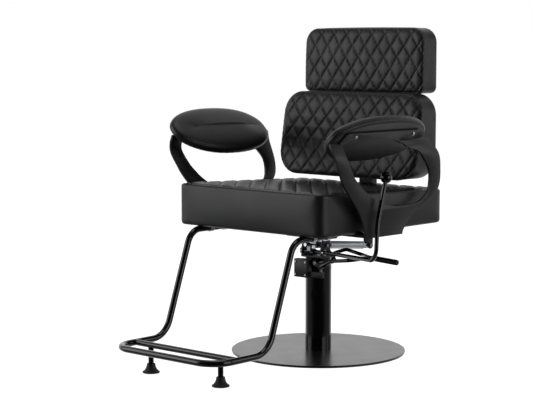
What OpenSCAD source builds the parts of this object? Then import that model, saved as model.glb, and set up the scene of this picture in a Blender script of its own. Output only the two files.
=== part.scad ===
/* [Base] */
// Diameter of the steel floor disc
disc_d = 600; // [540:5:660]
// Thickness of the steel floor disc
disc_t = 5; // [4:0.5:8]
// Thickness of the rubber pad under the disc
pad_floor_t = 3; // [2:0.5:5]
// Outer diameter of the column sleeve
sleeve_d = 90; // [84:1:96]
// Wall of the column sleeve
sleeve_wall = 3; // [2:0.5:4]
// Height of the sleeve's top edge above the floor
sleeve_top = 289; // [270:1:310]
// Diameter of the piston rod that stands on the base
rod_d = 30; // [24:1:34]

/* [Lift pump] */
// Travel of the hydraulic lift
lift_travel = 150; // [100:5:160]
// Outer diameter of the sliding pump tube
tube_d = 78; // [72:1:78]
// Wall of the sliding pump tube
tube_wall = 4; // [3:0.5:6]
// Height of the pump head above its collar
head_h = 40; // [34:1:50]
// Width of the oil reservoir across the chair
tank_w = 62; // [50:1:62]
// Depth of the oil reservoir, front to back
tank_l = 26; // [20:1:32]
// Height of the oil reservoir
tank_h = 62; // [50:1:70]
// Diameter of the pedal's steel rod
pedal_d = 13; // [10:0.5:15]
// Reach of the pedal from the column's axis
pedal_reach = 336; // [300:2:380]
// Length of the pedal's rubber grip
grip_l = 104; // [90:2:130]

/* [Seat] */
// Width of the seat cushion
seat_w = 642; // [600:2:650]
// Depth of the seat cushion, front to back
seat_l = 653; // [610:1:660]
// Distance from the column's axis to the rear face of the seat
seat_rear = 287; // [278:1:300]
// Height of the seat cushion's underside above the floor
seat_bottom = 450; // [440:1:470]
// Height of the seat cushion's sides, up to the seam
seat_side_h = 132; // [100:1:150]
// Rise of the seat's quilted top above the seam
seat_crown = 19; // [8:1:26]
// Corner radius of the seat cushion seen from above
seat_r = 36; // [30:1:60]
// Thickness of the plywood seat board
board_t = 15; // [12:1:18]

/* [Quilting] */
// Width of one quilted diamond
diamond_w = 57; // [50:1:64]
// Length of one quilted diamond
diamond_l = 77; // [68:1:86]
// Depth of the stitched lines between the diamonds
stitch_deep = 5; // [2:0.5:8]

/* [Backrest] */
// Width of the lower back cushion
back_w = 616; // [560:2:640]
// Height of the lower back cushion
back_h = 285; // [250:1:300]
// Thickness of the lower back cushion at its lower edge
back_t_low = 120; // [105:1:125]
// Thickness of the lower back cushion at its upper edge
back_t_high = 72; // [66:1:95]
// Gap between the seat's crown and the lower back cushion
back_gap = 1; // [1:1:10]
// Width of the upper back cushion
head_w = 530; // [480:2:560]
// Height of the upper back cushion
head_cushion_h = 220; // [190:1:240]
// Thickness of the upper back cushion
head_t = 80; // [70:1:90]
// Gap between the two back cushions
cushion_gap = 7; // [4:1:12]

/* [Armrests] */
// Distance from the seat's side to the middle of an arm plate
arm_gap = 36; // [29:1:45]
// Thickness of an arm plate
arm_t = 8; // [6:0.5:10]
// Length of an arm pad
pad_l = 462; // [420:2:470]
// Width of an arm pad, across its slope
pad_w = 202; // [170:2:210]
// Thickness of an arm pad's cushion
pad_t = 30; // [24:1:34]
// Slope of an arm pad, outer edge up, in degrees
pad_tilt = 43.7; // [36:0.1:48]
// Turn of an armrest seen from above, front end in, in degrees
arm_toe = 1.4; // [0:0.1:3]
// Outward bow of an arm plate
arm_bow = 15; // [0:1:18]

/* [Footrest] */
// Diameter of the footrest tube
foot_tube_d = 22; // [19:1:25]
// Distance from the seat's side in to the middle of the footrest's side tube
foot_in = 93; // [85:1:116]
// Distance from the column's axis to the front bar's middle
foot_reach = 754; // [720:2:790]
// Height of the footrest's bars above the floor
foot_z = 94; // [86:1:110]
// Spread of the two feet from the middle plane
foot_stem_x = 155; // [130:1:180]
// Diameter of a rubber foot
foot_d = 56; // [48:1:62]
// Clearance under the rubber feet with the seat at its lowest
foot_clear = 4; // [3:1:10]

/* [Controls] */
// Diameter of the recline lever's rod
lever_d = 14; // [12:0.5:16]
// Diameter of the lever's ball knob
knob_d = 38; // [32:1:42]
// Diameter of the gas spring's cylinder
gas_d = 28; // [22:1:30]
// Diameter of the gas spring's piston rod
gas_rod_d = 10; // [8:1:12]

/* [Hidden] */
$fn = 48;

// Shared clearances and the overrun of all cuts
over = 2;
run_gap = 0.05;
soft_gap = 0.3;
seat_gap = 1;
// Sides of a bent rod and steps round each of its bends
rod_sides = 24;
bend_steps = 7;

// Heights of the base
disc_bottom = pad_floor_t;
disc_top = pad_floor_t + disc_t;
base_flange_h = 12;
base_flange_d = sleeve_d - 2 * sleeve_wall - 2 * run_gap;
base_screw_d = 8;
base_screw_head = 3;
base_screw_n = 4;
base_screw_pcd = 58;
disc_edge = 1;

// Lift pump
sleeve_in_d = sleeve_d - 2 * sleeve_wall;
bush_h = 36;
tube_grip = 75;
tube_low = sleeve_top - tube_grip - lift_travel;
gland_h = 26;
tube_in_d = tube_d - 2 * tube_wall;
thrust_h = 6;
thrust_w = 7;
spigot_h = 24;
head_low = sleeve_top + seat_gap;
head_top = head_low + head_h;
head_seam = 2;
rod_top = head_low - spigot_h - thrust_h + seat_gap;
tank_edge = 4;
tank_x = -50;
tank_back = 47;
tank_drop = 4;
tank_y = -tank_back - tank_l;
tank_z = head_top - tank_drop - tank_h;
tank_screw_d = 6;
tank_screw_h = 3;
tank_screw_in = 9;
boss_r = 13;
boss_y = 43.5;
saddle_w = 48;
saddle_l = 20;
saddle_h = 28;

// Pedal, its shaft and the plunger that it pushes
shaft_d = 12;
shaft_x = 26;
shaft_z = head_top - boss_r - over;
shaft_y = 54;
crank_y = 47;
crank_t = 7;
crank_r = 10;
eye_dx = 28;
eye_dz = -10;
crank_eye = [shaft_x + eye_dx, -crank_y - crank_t / 2, shaft_z + eye_dz];
plunger_d = 8;
plunger_l = 24;
ear_w = 56;
ear_y = -62;
ear_l = 17;
ear_h = 20;
crank_bar = 15;
fork_rise = 31;
fork_step = 43;
fork_lift = 22;
fork_bend = 36;
grip_drop = 6;
grip_cap = 5;
join_gap = 9;
fork_join_x = pedal_reach + grip_cap - grip_l - join_gap;
rib_share = 0.6;
grip_d = 19;
grip_ribs = 14;
rib_deep = 1.2;

// Mount between the pump and the seat
mount_w = 90;
mount_y0 = -40;
mount_l = 66;
mount_t = 6;
mount_top = head_top + mount_t;
cheek_t = 5;
cheek_y0 = -29;
cheek_y1 = 9;
cheek_foot = 22;
cheek_flange = 17;
mount_bolt_x = 26;
mount_bolt_y = [-6, 17];
cheek_bolt_y = [-22, 2];
channel_h = 45;
channel_low = seat_bottom - channel_h;
channel_w = 132;
channel_y0 = -92;
channel_l = 204;
channel_t = 5;
channel_lip = 24;
lip_bolt_y = [-70, 90];
lip_bolt_in = 12;
bolt_d = 8;
bolt_head_d = 13;
bolt_head_h = 5;
bolt_grip = 12;
bar_bolt_in = 171;
bar_bolt_x = seat_w / 2 - bar_bolt_in;

// Recline hinge at the rear of the seat
hinge_in = 35;
hinge_drop = 26;
hinge_y = seat_rear - hinge_in;
hinge_z = seat_bottom - hinge_drop;
rail_t = 6;
rail_x = channel_w / 2 - channel_t - rail_t / 2;
rail_y0 = 60;
rail_r = 16;
rail_slope_l = 32;
rail_bolt_y = [74, 100];
rail_bolt_z = 24;
hinge_pin_d = 12;
barrel_d = 24;
barrel_half = rail_x - rail_t / 2 - seat_gap / 2;

// Gas spring, from its front pivot to its rear eye
lever_clear = 7;
lever_y = -28;
lever_z = mount_top + lever_d / 2 + lever_clear;
gas_y = -10;
gas_rise = 22;
gas_z = lever_z + gas_rise;
gas_front = [0, gas_y, gas_z];
eye_back = 23;
eye_drop = 81;
gas_eye_at = [0, hinge_y + eye_back, hinge_z - eye_drop];
gas_run = gas_eye_at - gas_front;
gas_len = norm(gas_run);
gas_cyl_start = 64;
gas_wall = 3;
gas_neck_l = 34;
gas_cyl_end = gas_len - gas_neck_l;
gas_cap = 14;
gas_head_d = 24;
gas_head_back = 18;
gas_head_front = 16;
gas_bolt_d = 8;
spacer_d = 14;
piston_l = 14;
gas_rod_end = 190;
rod_sink = 10;
pin_head_h = 4;
eye_d = 22;
eye_t = 12;
eye_neck_d = 11;
eye_pin_d = 8;
eye_bore_d = 12.4;
release_d = 6;
release_in = 10;
release_out = 30;

// Back spine
spine_w = 60;
spine_l = 25;
spine_wall = 3;
spine_in = 27.5;
spine_foot = 32;
spine_front = seat_rear - spine_in;
spine_low = hinge_z - spine_foot;
spine_cap = 6;
lug_gap = 14;
lug_t = 5;
lug_r = 12;
lug_l = 24;

// Place of the arm plates
arm_x = seat_w / 2 + arm_gap;
arm_mid_out = 3;
arm_front_out = 270;
arm_mid_y = channel_y0 - arm_mid_out;
arm_y0 = channel_y0 - arm_front_out;

// Recline lever
lever_side_gap = 1.5;
lever_x = arm_x + arm_t / 2 + knob_d / 2 + lever_side_gap;
lever_low_out = 73;
lever_low_rise = 16;
lever_mid_out = 65;
lever_mid_rise = 38;
lever_top_out = 22;
lever_top_rise = 182;
lever_in_x = -56;
lever_out_x = 70;
lever_path = [[lever_in_x, lever_y, lever_z], [lever_out_x, lever_y, lever_z],
    [lever_x, arm_mid_y - lever_low_out, lever_z + lever_low_rise],
    [lever_x, arm_mid_y - lever_mid_out, seat_bottom + lever_mid_rise],
    [lever_x, arm_mid_y - lever_top_out, seat_bottom + lever_top_rise]];
lever_bends = [0, 60, 40, 160, 0];
knob_set = 6;
collar_d = 22;
collar_w = 7;
cam_t = 10;
cam_w = 14;
cam_y = -25;
cam_hub_r = 11;
cam_screw_end = 62;
cam_screw_d = 8;
cam_nut_d = 14;
cam_nut_h = 6;

// Seat
notch_w = 104;
notch_l = 44;
board_inset = 18;
seat_front = seat_rear - seat_l;
seat_seam = seat_bottom + seat_side_h;
seat_mid_y = (seat_front + seat_rear) / 2;
side_draw = 4;
low_round = 9;
seam_step = 5;

// Backrest and upper cushion
back_low = seat_seam + seat_crown + back_gap;
back_top = back_low + back_h;
back_bow = 3;
back_crown = 8;
back_r_top = 66;
back_r_low = 46;
head_low_z = back_top + cushion_gap;
head_back = 31;
head_rear = seat_rear + head_back;
head_crown = 8;
head_r_top = 52;
head_r_low = 22;
head_taper = 8;
back_board_t = 12;
back_board_inset = 16;
ear_plate_w = 45;
ear_plate_h = 46;
ear_plate_t = 4;
ear_rise_shares = [0.17, 0.695];
ear_plate_z = [for (k = ear_rise_shares) back_low + k * back_h];
ear_bolt_x = 54;
spacer_w = 150;
spacer_h = 46;
spacer_rise = 36;
spacer_z = head_low_z + spacer_rise;
spacer_bolt_x = 50;
spine_in_head = 118;
spine_top = head_low_z + spine_in_head;

// Arm plates, drawn as shares of the plate's length and height
arm_len = 552;
rail_bar_h = 12;
arm_z0 = seat_bottom - rail_bar_h;
arm_rise = 320;
arm_steps = 3;
bow_steps = 2;
rail_bar_out = [88, -52];
rail_bar_y = [for (k = rail_bar_out) channel_y0 - k];
rail_bar_l = 30;
tab_t = 6;
tab_h = 46;
arm_bolt_z = 30;
arm_bolt_l = 12;
pad_dx = -16;
pad_dy = -33;
pad_rise = 309;
pad_z = seat_bottom + pad_rise;
pad_board_t = 6;
pad_board_in = 7;
pad_power = 2.28;
pad_tip_share = 0.06;
pad_tip_side = 8;
pad_steps = 44;
pad_low = -16.5;
flange_t = 6;
flange_u = -10;
flange_w = 64;
flange_l = 366;
flange_y = -12;
arm_screw_u = 36;
arm_screw_y = [-141, 148];
arm_screw_d = 8;
arm_screw_head = 14;
arm_screw_h = 4;
arm_screw_l = 10;

// Outer edge of an arm plate, from the front of its top down to the foot
arm_front_shares = [[-0.015, 1.12], [0, 0.969], [0.002, 0.913], [0.016, 0.834], [0.031, 0.763],
    [0.053, 0.694], [0.074, 0.631], [0.096, 0.569], [0.129, 0.5], [0.167, 0.428], [0.236, 0.297],
    [0.283, 0.172], [0.31, 0.053], [0.319, 0]];
// The same edge from the rear of the foot up to the top
arm_rear_shares = [[0.649, 0], [0.661, 0.05], [0.725, 0.166], [0.812, 0.263], [0.928, 0.35],
    [0.982, 0.428], [0.998, 0.506], [0.998, 0.584], [0.991, 0.656], [0.976, 0.75],
    [0.957, 0.822], [0.931, 0.888], [0.906, 0.95], [0.828, 1.12]];
// Edge of the opening between the legs, from the rear of its top round the bottom to the front
arm_inner_shares = [[0.505, 1.12], [0.565, 0.969], [0.623, 0.916], [0.714, 0.878], [0.777, 0.838],
    [0.824, 0.756], [0.861, 0.694], [0.886, 0.631], [0.897, 0.544], [0.888, 0.428], [0.83, 0.334],
    [0.73, 0.297], [0.582, 0.294], [0.466, 0.334], [0.366, 0.406], [0.27, 0.506],
    [0.226, 0.569], [0.187, 0.631], [0.159, 0.694], [0.134, 0.756], [0.112, 0.819],
    [0.101, 0.888], [0.103, 0.959], [0.112, 1.12]];
// Outward bow of an arm plate on its way up: share of the bow, share of the height
arm_bow_shares = [[0, -0.05], [0, 0.145], [0, 0.17], [0.06, 0.256], [0.3, 0.475], [0.6, 0.63], [0.9, 0.725],
    [1, 0.787], [0.92, 0.834], [0.55, 0.885], [0, 0.944], [-0.5, 1], [-1.6, 1.15]];
// Sections of an arm pad: how far each is drawn in and how high it lies
pad_shares = [[0.05, 0], [0, 0.25], [0.005, 0.5], [0.05, 0.72], [0.16, 0.88], [0.4, 0.97]];
// Profile of a rubber foot: radius and height
foot_shares = [[0, 0], [1, 0], [1, 0.13], [0.82, 0.24], [0.64, 0.45], [0.54, 0.7], [0.48, 1], [0, 1]];

// Footrest
foot_x = seat_w / 2 - foot_in;
foot_top_z = seat_bottom - foot_tube_d / 2 - run_gap;
foot_back_gap = 6;
foot_bend_out = 26.5;
foot_slope = 19.58;
foot_back_y = rail_bar_y[0] - foot_back_gap;
foot_bend_y = seat_front - foot_bend_out;
foot_low_y = foot_bend_y - (foot_top_z - foot_z) * tan(foot_slope);
foot_bend_top = 60;
foot_bend_low = 80;
foot_corner = 75;
crossbar_in = 102;
crossbar_y = -foot_reach + crossbar_in;
crossbar_d = 20;
stem_d = 18;
bell_h = 30;
stem_drop = 6;
stem_sink = 14;
clamp_t = 3;
clamp_l = 18;
clamp_w = 56;
clamp_out = [44, 114];
clamp_y = [for (k = clamp_out) foot_back_y - k];
clamp_screw_d = 5;
clamp_screw_x = 22;
clamp_screw_l = 8;

// Colours
black_gloss = [0.06, 0.06, 0.065];
black_satin = [0.11, 0.11, 0.115];
leather = [0.15, 0.15, 0.16];
steel = [0.72, 0.73, 0.75];
silver = [0.78, 0.82, 0.88];
rubber = [0.05, 0.05, 0.05];
wood = [0.72, 0.56, 0.38];
brass = [0.8, 0.5, 0.3];
nylon = [0.85, 0.85, 0.8];

// A vector of length one along v
function unit(v) = v / norm(v);

// Rows of a rotation whose Z axis lies along d
function side_of(d) = abs(d[2]) > 0.9 ? unit(cross([0, 1, 0], d)) : unit(cross([0, 0, 1], d));

// Place children with their Z axis along d, X axis along s, at p
module aim(p, d, s) {
    t = cross(d, s);
    multmatrix([[s[0], t[0], d[0], p[0]],
                [s[1], t[1], d[1], p[1]],
                [s[2], t[2], d[2], p[2]],
                [0, 0, 0, 1]]) children();
}

// A round rod from p to q
module rod_between(p, q, d) {
    way = unit(q - p);
    aim(p, way, side_of(way)) cylinder(d = d, h = norm(q - p));
}

// Half of the turn at corner i of a path, and the straight length that its bend takes
function turn_of(path, i) =
    let (k = unit(path[i] - path[i - 1]) * unit(path[i + 1] - path[i]))
    acos(min(1, max(-1, k))) / 2;
function bend_take(path, bends, i) =
    (i == 0 || i == len(path) - 1) ? 0 : bends[i] * tan(turn_of(path, i));

// Points and directions round corner i of a path, bent to its radius
function bend_points(path, bends, i) =
    let (way_in = unit(path[i] - path[i - 1]), way_out = unit(path[i + 1] - path[i]),
         half = turn_of(path, i),
         middle = path[i] + unit(way_out - way_in) * (bends[i] / cos(half)),
         start = path[i] - way_in * bend_take(path, bends, i), out = unit(start - middle))
    [for (k = [0 : bend_steps]) let (a = 2 * half * k / bend_steps)
        [middle + bends[i] * (cos(a) * out + sin(a) * way_in), cos(a) * way_in - sin(a) * out]];

// Points and directions along the whole bent path
function bent_path(path, bends) = let (n = len(path) - 1) concat(
    [[path[0], unit(path[1] - path[0])]],
    [for (i = [1 : n - 1]) each bend_points(path, bends, i)],
    [[path[n], unit(path[n] - path[n - 1])]]);

// A round rod along a path, each corner bent to its radius
module bent_rod(path, bends, d) {
    line = bent_path(path, bends);
    n = len(line);
    sides = [for (i = 0, s = side_of(line[0][1]); i < n; i = i + 1,
        s = i < n ? unit(s - (s * line[i][1]) * line[i][1]) : s) s];
    points = [for (i = [0 : n - 1], k = [0 : rod_sides - 1])
        let (a = k * 360 / rod_sides, t = cross(line[i][1], sides[i]))
        line[i][0] + d / 2 * (cos(a) * sides[i] + sin(a) * t)];
    walls = [for (i = [0 : n - 2], k = [0 : rod_sides - 1])
        let (a = i * rod_sides + k, b = i * rod_sides + (k + 1) % rod_sides)
        each [[a, a + rod_sides, b + rod_sides], [a, b + rod_sides, b]]];
    polyhedron(points, concat([[for (k = [0 : rod_sides - 1]) k]], walls,
        [[for (k = [rod_sides - 1 : -1 : 0]) (n - 1) * rod_sides + k]]));
}

// A box with its low corner at p
module block(p, size) {
    translate(p) cube(size);
}

// A box with rounded upright edges
module round_block(p, size, r) {
    translate(p) linear_extrude(size[2]) rounded([size[0], size[1]], r);
}

// A rectangle with round corners, its low corner at the origin
module rounded(size, r) {
    translate([r, 0]) square([size[0] - 2 * r, size[1]]);
    translate([0, r]) square([size[0], size[1] - 2 * r]);
    for (x = [r, size[0] - r], y = [r, size[1] - r]) translate([x, y]) circle(r = r);
}

// Outline of a cushion: a point of the square grid drawn in to a round corner
function corner_pull(x, y, w, h, r_top, r_low) =
    let (r = y > 0 ? r_top : r_low,
         ax = abs(x) - (w / 2 - r),
         ay = abs(y) - (h / 2 - r),
         n = norm([max(ax, 0), max(ay, 0)]))
    (ax > 0 && ay > 0 && n > r)
        ? [sign(x) * (w / 2 - r + ax * r / n), sign(y) * (h / 2 - r + ay * r / n)] : [x, y];

// How far a side is drawn in between its corners, as a share from 0 to 1
function draw_share(x, w) = 1 - pow(2 * x / w, 2);

// A point of a cushion's side ring, moved inwards by inset and by the drawn-in sides
function ring_point(x, y, w, h, r_top, r_low, inset, drawn) =
    let (p = corner_pull(x, y, w, h, r_top, r_low),
         kx = (w / 2 - inset - drawn * draw_share(p[1], h)) / (w / 2),
         ky = (h / 2 - inset - drawn * draw_share(p[0], w)) / (h / 2))
    [p[0] * kx, p[1] * ky];

// Height of the quilted face: low on the stitched lines' crossings, high between them
function quilt_z(i, j, nx, ny, crown, deep) =
    crown * (1 - pow(2 * i / nx - 1, 6)) * (1 - pow(2 * j / ny - 1, 6))
    - ((i + j) % 2 == 0 ? deep : 0);

// Index of a grid point on the rim, walking round the grid
function rim(nx, ny) = concat([for (i = [0 : nx - 1]) [i, 0]], [for (j = [0 : ny - 1]) [nx, j]],
    [for (i = [nx : -1 : 1]) [i, ny]], [for (j = [ny : -1 : 1]) [0, j]]);

// A quilted cushion lying on z = 0, its stitched face up.
// It is t_low thick at its near edge and t_high thick at its far edge, and bowed between them.
module quilted_cushion(w, h, t_low, t_high, bow, crown, r_top, r_low) {
    nx = 2 * round(w / diamond_w);
    ny = 2 * round(h / diamond_l);
    walk = rim(nx, ny);
    n = len(walk);
    function thick(y) = t_low + (t_high - t_low) * (y / h + 0.5) + bow * draw_share(y, h);
    face = [for (j = [0 : ny], i = [0 : nx])
        let (edge = i == 0 || j == 0 || i == nx || j == ny,
             x = (i / nx - 0.5) * w, y = (j / ny - 0.5) * h,
             p = ring_point(x, y, w, h, r_top, r_low, seam_step, 0))
        [p[0], p[1], thick(y) + (edge ? 0 : quilt_z(i, j, nx, ny, crown, stitch_deep))]];
    function side(inset, drawn, part_share, drop) = [for (k = walk)
        let (x = (k[0] / nx - 0.5) * w, y = (k[1] / ny - 0.5) * h,
             p = ring_point(x, y, w, h, r_top, r_low, inset, drawn))
        [p[0], p[1], (thick(y) - drop) * part_share]];
    rings = [side(0, 0, 1, seam_step), side(0, side_draw, 0.5, 0),
        [for (p = side(0, 0, 0, 0)) [p[0], p[1], low_round]], side(low_round, 0, 0, 0)];
    start = (nx + 1) * (ny + 1);
    points = concat(face, rings[0], rings[1], rings[2], rings[3], [[0, 0, 0]]);
    function at(i, j) = j * (nx + 1) + i;
    top = [for (j = [0 : ny - 1], i = [0 : nx - 1]) each ((i + j) % 2 == 0
        ? [[at(i, j), at(i + 1, j + 1), at(i + 1, j)], [at(i, j), at(i, j + 1), at(i + 1, j + 1)]]
        : [[at(i, j), at(i, j + 1), at(i + 1, j)], [at(i + 1, j), at(i, j + 1), at(i + 1, j + 1)]])];
    seam = [for (k = [0 : n - 1])
        let (a = at(walk[k][0], walk[k][1]), m = (k + 1) % n, b = at(walk[m][0], walk[m][1]))
        each [[a, b, start + m], [a, start + m, start + k]]];
    sides = [for (s = [0 : 2], k = [0 : n - 1])
        let (m = (k + 1) % n, lo = start + s * n, hi = lo + n)
        each [[lo + k, lo + m, hi + m], [lo + k, hi + m, hi + k]]];
    last = start + 3 * n;
    bottom = [for (k = [0 : n - 1]) [last + k, last + (k + 1) % n, last + n]];
    polyhedron(points, concat(top, seam, sides, bottom));
}

// A bolt: hexagon head below z = 0, shank upwards
module bolt(shank) {
    translate([0, 0, -bolt_head_h]) cylinder(d = bolt_head_d, h = bolt_head_h, $fn = 6);
    cylinder(d = bolt_d, h = shank);
}

// The hole for a bolt's shank
module bolt_hole(shank) {
    translate([0, 0, -over]) cylinder(d = bolt_d + 2 * run_gap, h = shank + over + run_gap);
}

// A small round-headed screw: head below z = 0, shank upwards
module screw(d, head_d, head_h, shank) {
    translate([0, 0, -head_h]) cylinder(d1 = head_d - head_h, d2 = head_d, h = head_h);
    cylinder(d = d, h = shank);
}

// The hole for a screw's shank
module screw_hole(d, shank) {
    translate([0, 0, -over]) cylinder(d = d + 2 * run_gap, h = shank + over + run_gap);
}

// A shaft along the X axis, its middle at p
module cross_bar(p, d, half) {
    translate([-half, p[1], p[2]]) rotate([0, 90, 0]) cylinder(d = d, h = 2 * half);
}

// Children on both sides of the middle plane
module both() {
    children();
    mirror([1, 0, 0]) children();
}

// Where the base screws stand
module at_base_screws() {
    for (a = [0 : 360 / base_screw_n : 359]) rotate(a)
        translate([base_screw_pcd / 2, 0, disc_bottom]) children();
}

// A countersunk base screw, larger by gap
module base_screw(gap) {
    cylinder(d = base_screw_d + 2 * gap, h = disc_t + base_flange_h);
    cylinder(d1 = base_screw_d + 2 * base_screw_head + 2 * gap, d2 = base_screw_d + 2 * gap,
        h = base_screw_head);
}

// Where the bolts of the mount, the channel, the arms and the back stand
module at_mount_bolts() {
    for (x = [-mount_bolt_x, mount_bolt_x], y = mount_bolt_y)
        translate([x, y, mount_top]) rotate([180, 0, 0]) children();
}
module at_cheek_bolts() {
    for (s = [-1, 1], y = cheek_bolt_y)
        translate([s * (mount_w + cheek_flange) / 2, y, channel_low - cheek_t]) children();
}
module at_lip_bolts() {
    for (s = [-1, 1], y = lip_bolt_y)
        translate([s * (channel_w / 2 + lip_bolt_in), y, seat_bottom - channel_t]) children();
}
module at_bar_bolts() {
    for (x = [-bar_bolt_x, bar_bolt_x])
        translate([x, rail_bar_y[0] + rail_bar_l / 2, arm_z0]) children();
}
module at_rail_bolts() {
    for (s = [-1, 1], y = rail_bolt_y)
        translate([s * channel_w / 2, y, channel_low + rail_bolt_z]) rotate([0, -s * 90, 0]) children();
}
module at_arm_bolts() {
    both() arm_place() for (y = rail_bar_y)
        translate([-arm_t / 2 - tab_t, y + rail_bar_l / 2 - arm_mid_y, arm_z0 + arm_bolt_z])
            rotate([0, 90, 0]) children();
}
module at_ear_bolts() {
    for (x = [-ear_bolt_x, ear_bolt_x], z = ear_plate_z)
        translate([x, spine_front + ear_plate_t, z + ear_plate_h / 2]) rotate([90, 0, 0]) children();
}
module at_head_bolts() {
    for (x = [-spacer_bolt_x, spacer_bolt_x])
        translate([x, head_rear, spacer_z + spacer_h / 2]) rotate([90, 0, 0]) children();
}
module at_clamps() {
    for (s = [-1, 1], y = clamp_y) translate([s * foot_x, y, 0]) children();
}
module at_clamp_screws() {
    at_clamps() for (x = [-clamp_screw_x, clamp_screw_x])
        translate([x, 0, seat_bottom - clamp_t]) children();
}

// Floor disc with a chamfered edge
module base_disc() {
    color(black_satin) difference() {
        translate([0, 0, disc_bottom]) rotate_extrude($fn = 128) polygon([[0, 0],
            [disc_d / 2 - disc_edge, 0], [disc_d / 2, disc_edge], [disc_d / 2, disc_t - disc_edge],
            [disc_d / 2 - disc_edge, disc_t], [0, disc_t]]);
        at_base_screws() {
            base_screw(run_gap);
            translate([0, 0, -over]) cylinder(d = base_screw_d, h = 2 * over);
        }
    }
}

// Rubber pad that the disc stands on
module floor_pad() {
    color(rubber) cylinder(d = disc_d - 4 * disc_edge, h = pad_floor_t, $fn = 128);
}

// Steel flange inside the sleeve, screwed to the disc, round the piston rod's foot
module base_flange() {
    color(steel) difference() {
        translate([0, 0, disc_top]) cylinder(d = base_flange_d, h = base_flange_h);
        translate([0, 0, disc_top - over])
            cylinder(d = rod_d + 2 * run_gap, h = base_flange_h + 2 * over);
        at_base_screws() cylinder(d = base_screw_d + 2 * run_gap, h = disc_t + base_flange_h + over);
    }
}

// Screws that come up through the disc into the flange
module base_screws() {
    color(steel) at_base_screws() base_screw(0);
}

// Gloss outer tube of the column
module column_sleeve() {
    color(black_gloss) translate([0, 0, disc_top]) difference() {
        cylinder(d = sleeve_d, h = sleeve_top - disc_top);
        translate([0, 0, -over]) cylinder(d = sleeve_in_d, h = sleeve_top - disc_top + 2 * over);
    }
}

// Nylon guide at the top of the sleeve
module guide_bush() {
    color(nylon) translate([0, 0, sleeve_top - bush_h]) difference() {
        cylinder(d = sleeve_in_d - 2 * run_gap, h = bush_h);
        translate([0, 0, -over]) cylinder(d = tube_d + 2 * run_gap, h = bush_h + 2 * over);
    }
}

// Steel rod that the pump climbs
module piston_rod() {
    color(steel) translate([0, 0, disc_top]) cylinder(d = rod_d, h = rod_top - disc_top);
}

// Pump tube that slides in the sleeve
module lift_tube() {
    color(steel) translate([0, 0, tube_low]) difference() {
        cylinder(d = tube_d, h = sleeve_top - tube_low);
        translate([0, 0, -over]) cylinder(d = tube_in_d, h = sleeve_top - tube_low + 2 * over);
    }
}

// Gland at the foot of the pump tube, round the piston rod
module rod_gland() {
    color(brass) translate([0, 0, tube_low]) difference() {
        cylinder(d = tube_in_d - 2 * run_gap, h = gland_h);
        translate([0, 0, -over]) cylinder(d = rod_d + 2 * run_gap, h = gland_h + 2 * over);
    }
}

// Bearing ring inside the tube's top, under the turning head's spigot
module thrust_ring() {
    color(steel) translate([0, 0, head_low - spigot_h - thrust_h]) difference() {
        cylinder(d = tube_in_d - 2 * run_gap, h = thrust_h);
        translate([0, 0, -over]) cylinder(d = tube_in_d - 2 * thrust_w, h = thrust_h + 2 * over);
    }
}

// Cast head that turns on the pump tube, with a seat for the reservoir and the shaft's boss
module pump_head() {
    color(black_gloss) difference() {
        union() {
            translate([0, 0, head_low]) cylinder(d = sleeve_d, h = head_h);
            translate([0, 0, head_low + head_seam]) cylinder(d = sleeve_d + head_seam, h = head_seam);
            translate([0, 0, head_low - spigot_h])
                cylinder(d = tube_in_d - 2 * run_gap, h = spigot_h + over);
            block([tank_x + tank_edge, tank_y + tank_l, head_low + 3 * head_seam],
                [saddle_w, saddle_l, saddle_h]);
            translate([shaft_x, -boss_y, shaft_z]) rotate([-90, 0, 0])
                cylinder(r = boss_r, h = 2 * boss_y);
        }
        translate([shaft_x, -boss_y - over, shaft_z]) rotate([-90, 0, 0])
            cylinder(d = shaft_d + 2 * run_gap, h = 2 * (boss_y + over));
        at_mount_bolts() bolt_hole(bolt_grip);
    }
}

// Box of oil in front of the column, with an ear that guides the pump plunger
module oil_reservoir() {
    color(black_satin) difference() {
        union() {
            round_block([tank_x, tank_y, tank_z], [tank_w, tank_l, tank_h], tank_edge);
            block([tank_x + tank_w - tank_edge, ear_y, tank_z + over],
                [ear_w, ear_l, ear_h]);
        }
        translate([crank_eye[0], crank_eye[1], tank_z - over])
            cylinder(d = plunger_d + 2 * run_gap, h = ear_h + 3 * over);
    }
}

// Cover screws on the reservoir's front
module reservoir_screws() {
    color(steel) for (x = [tank_x + tank_screw_in, tank_x + tank_w - tank_screw_in],
            z = [tank_z + tank_screw_in, tank_z + tank_h - tank_screw_in])
        translate([x, tank_y, z]) rotate([90, 0, 0]) cylinder(d = tank_screw_d, h = tank_screw_h);
}

// Plunger that the pedal's crank presses into the reservoir's ear
module pump_plunger() {
    color(steel) translate([crank_eye[0], crank_eye[1],
            crank_eye[2] - crank_r - soft_gap - plunger_l])
        cylinder(d = plunger_d, h = plunger_l);
}

// Shaft across the pump head, turned by the pedal
module pedal_shaft() {
    color(steel) translate([shaft_x, -shaft_y, shaft_z]) rotate([-90, 0, 0])
        cylinder(d = shaft_d, h = 2 * shaft_y);
}

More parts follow.
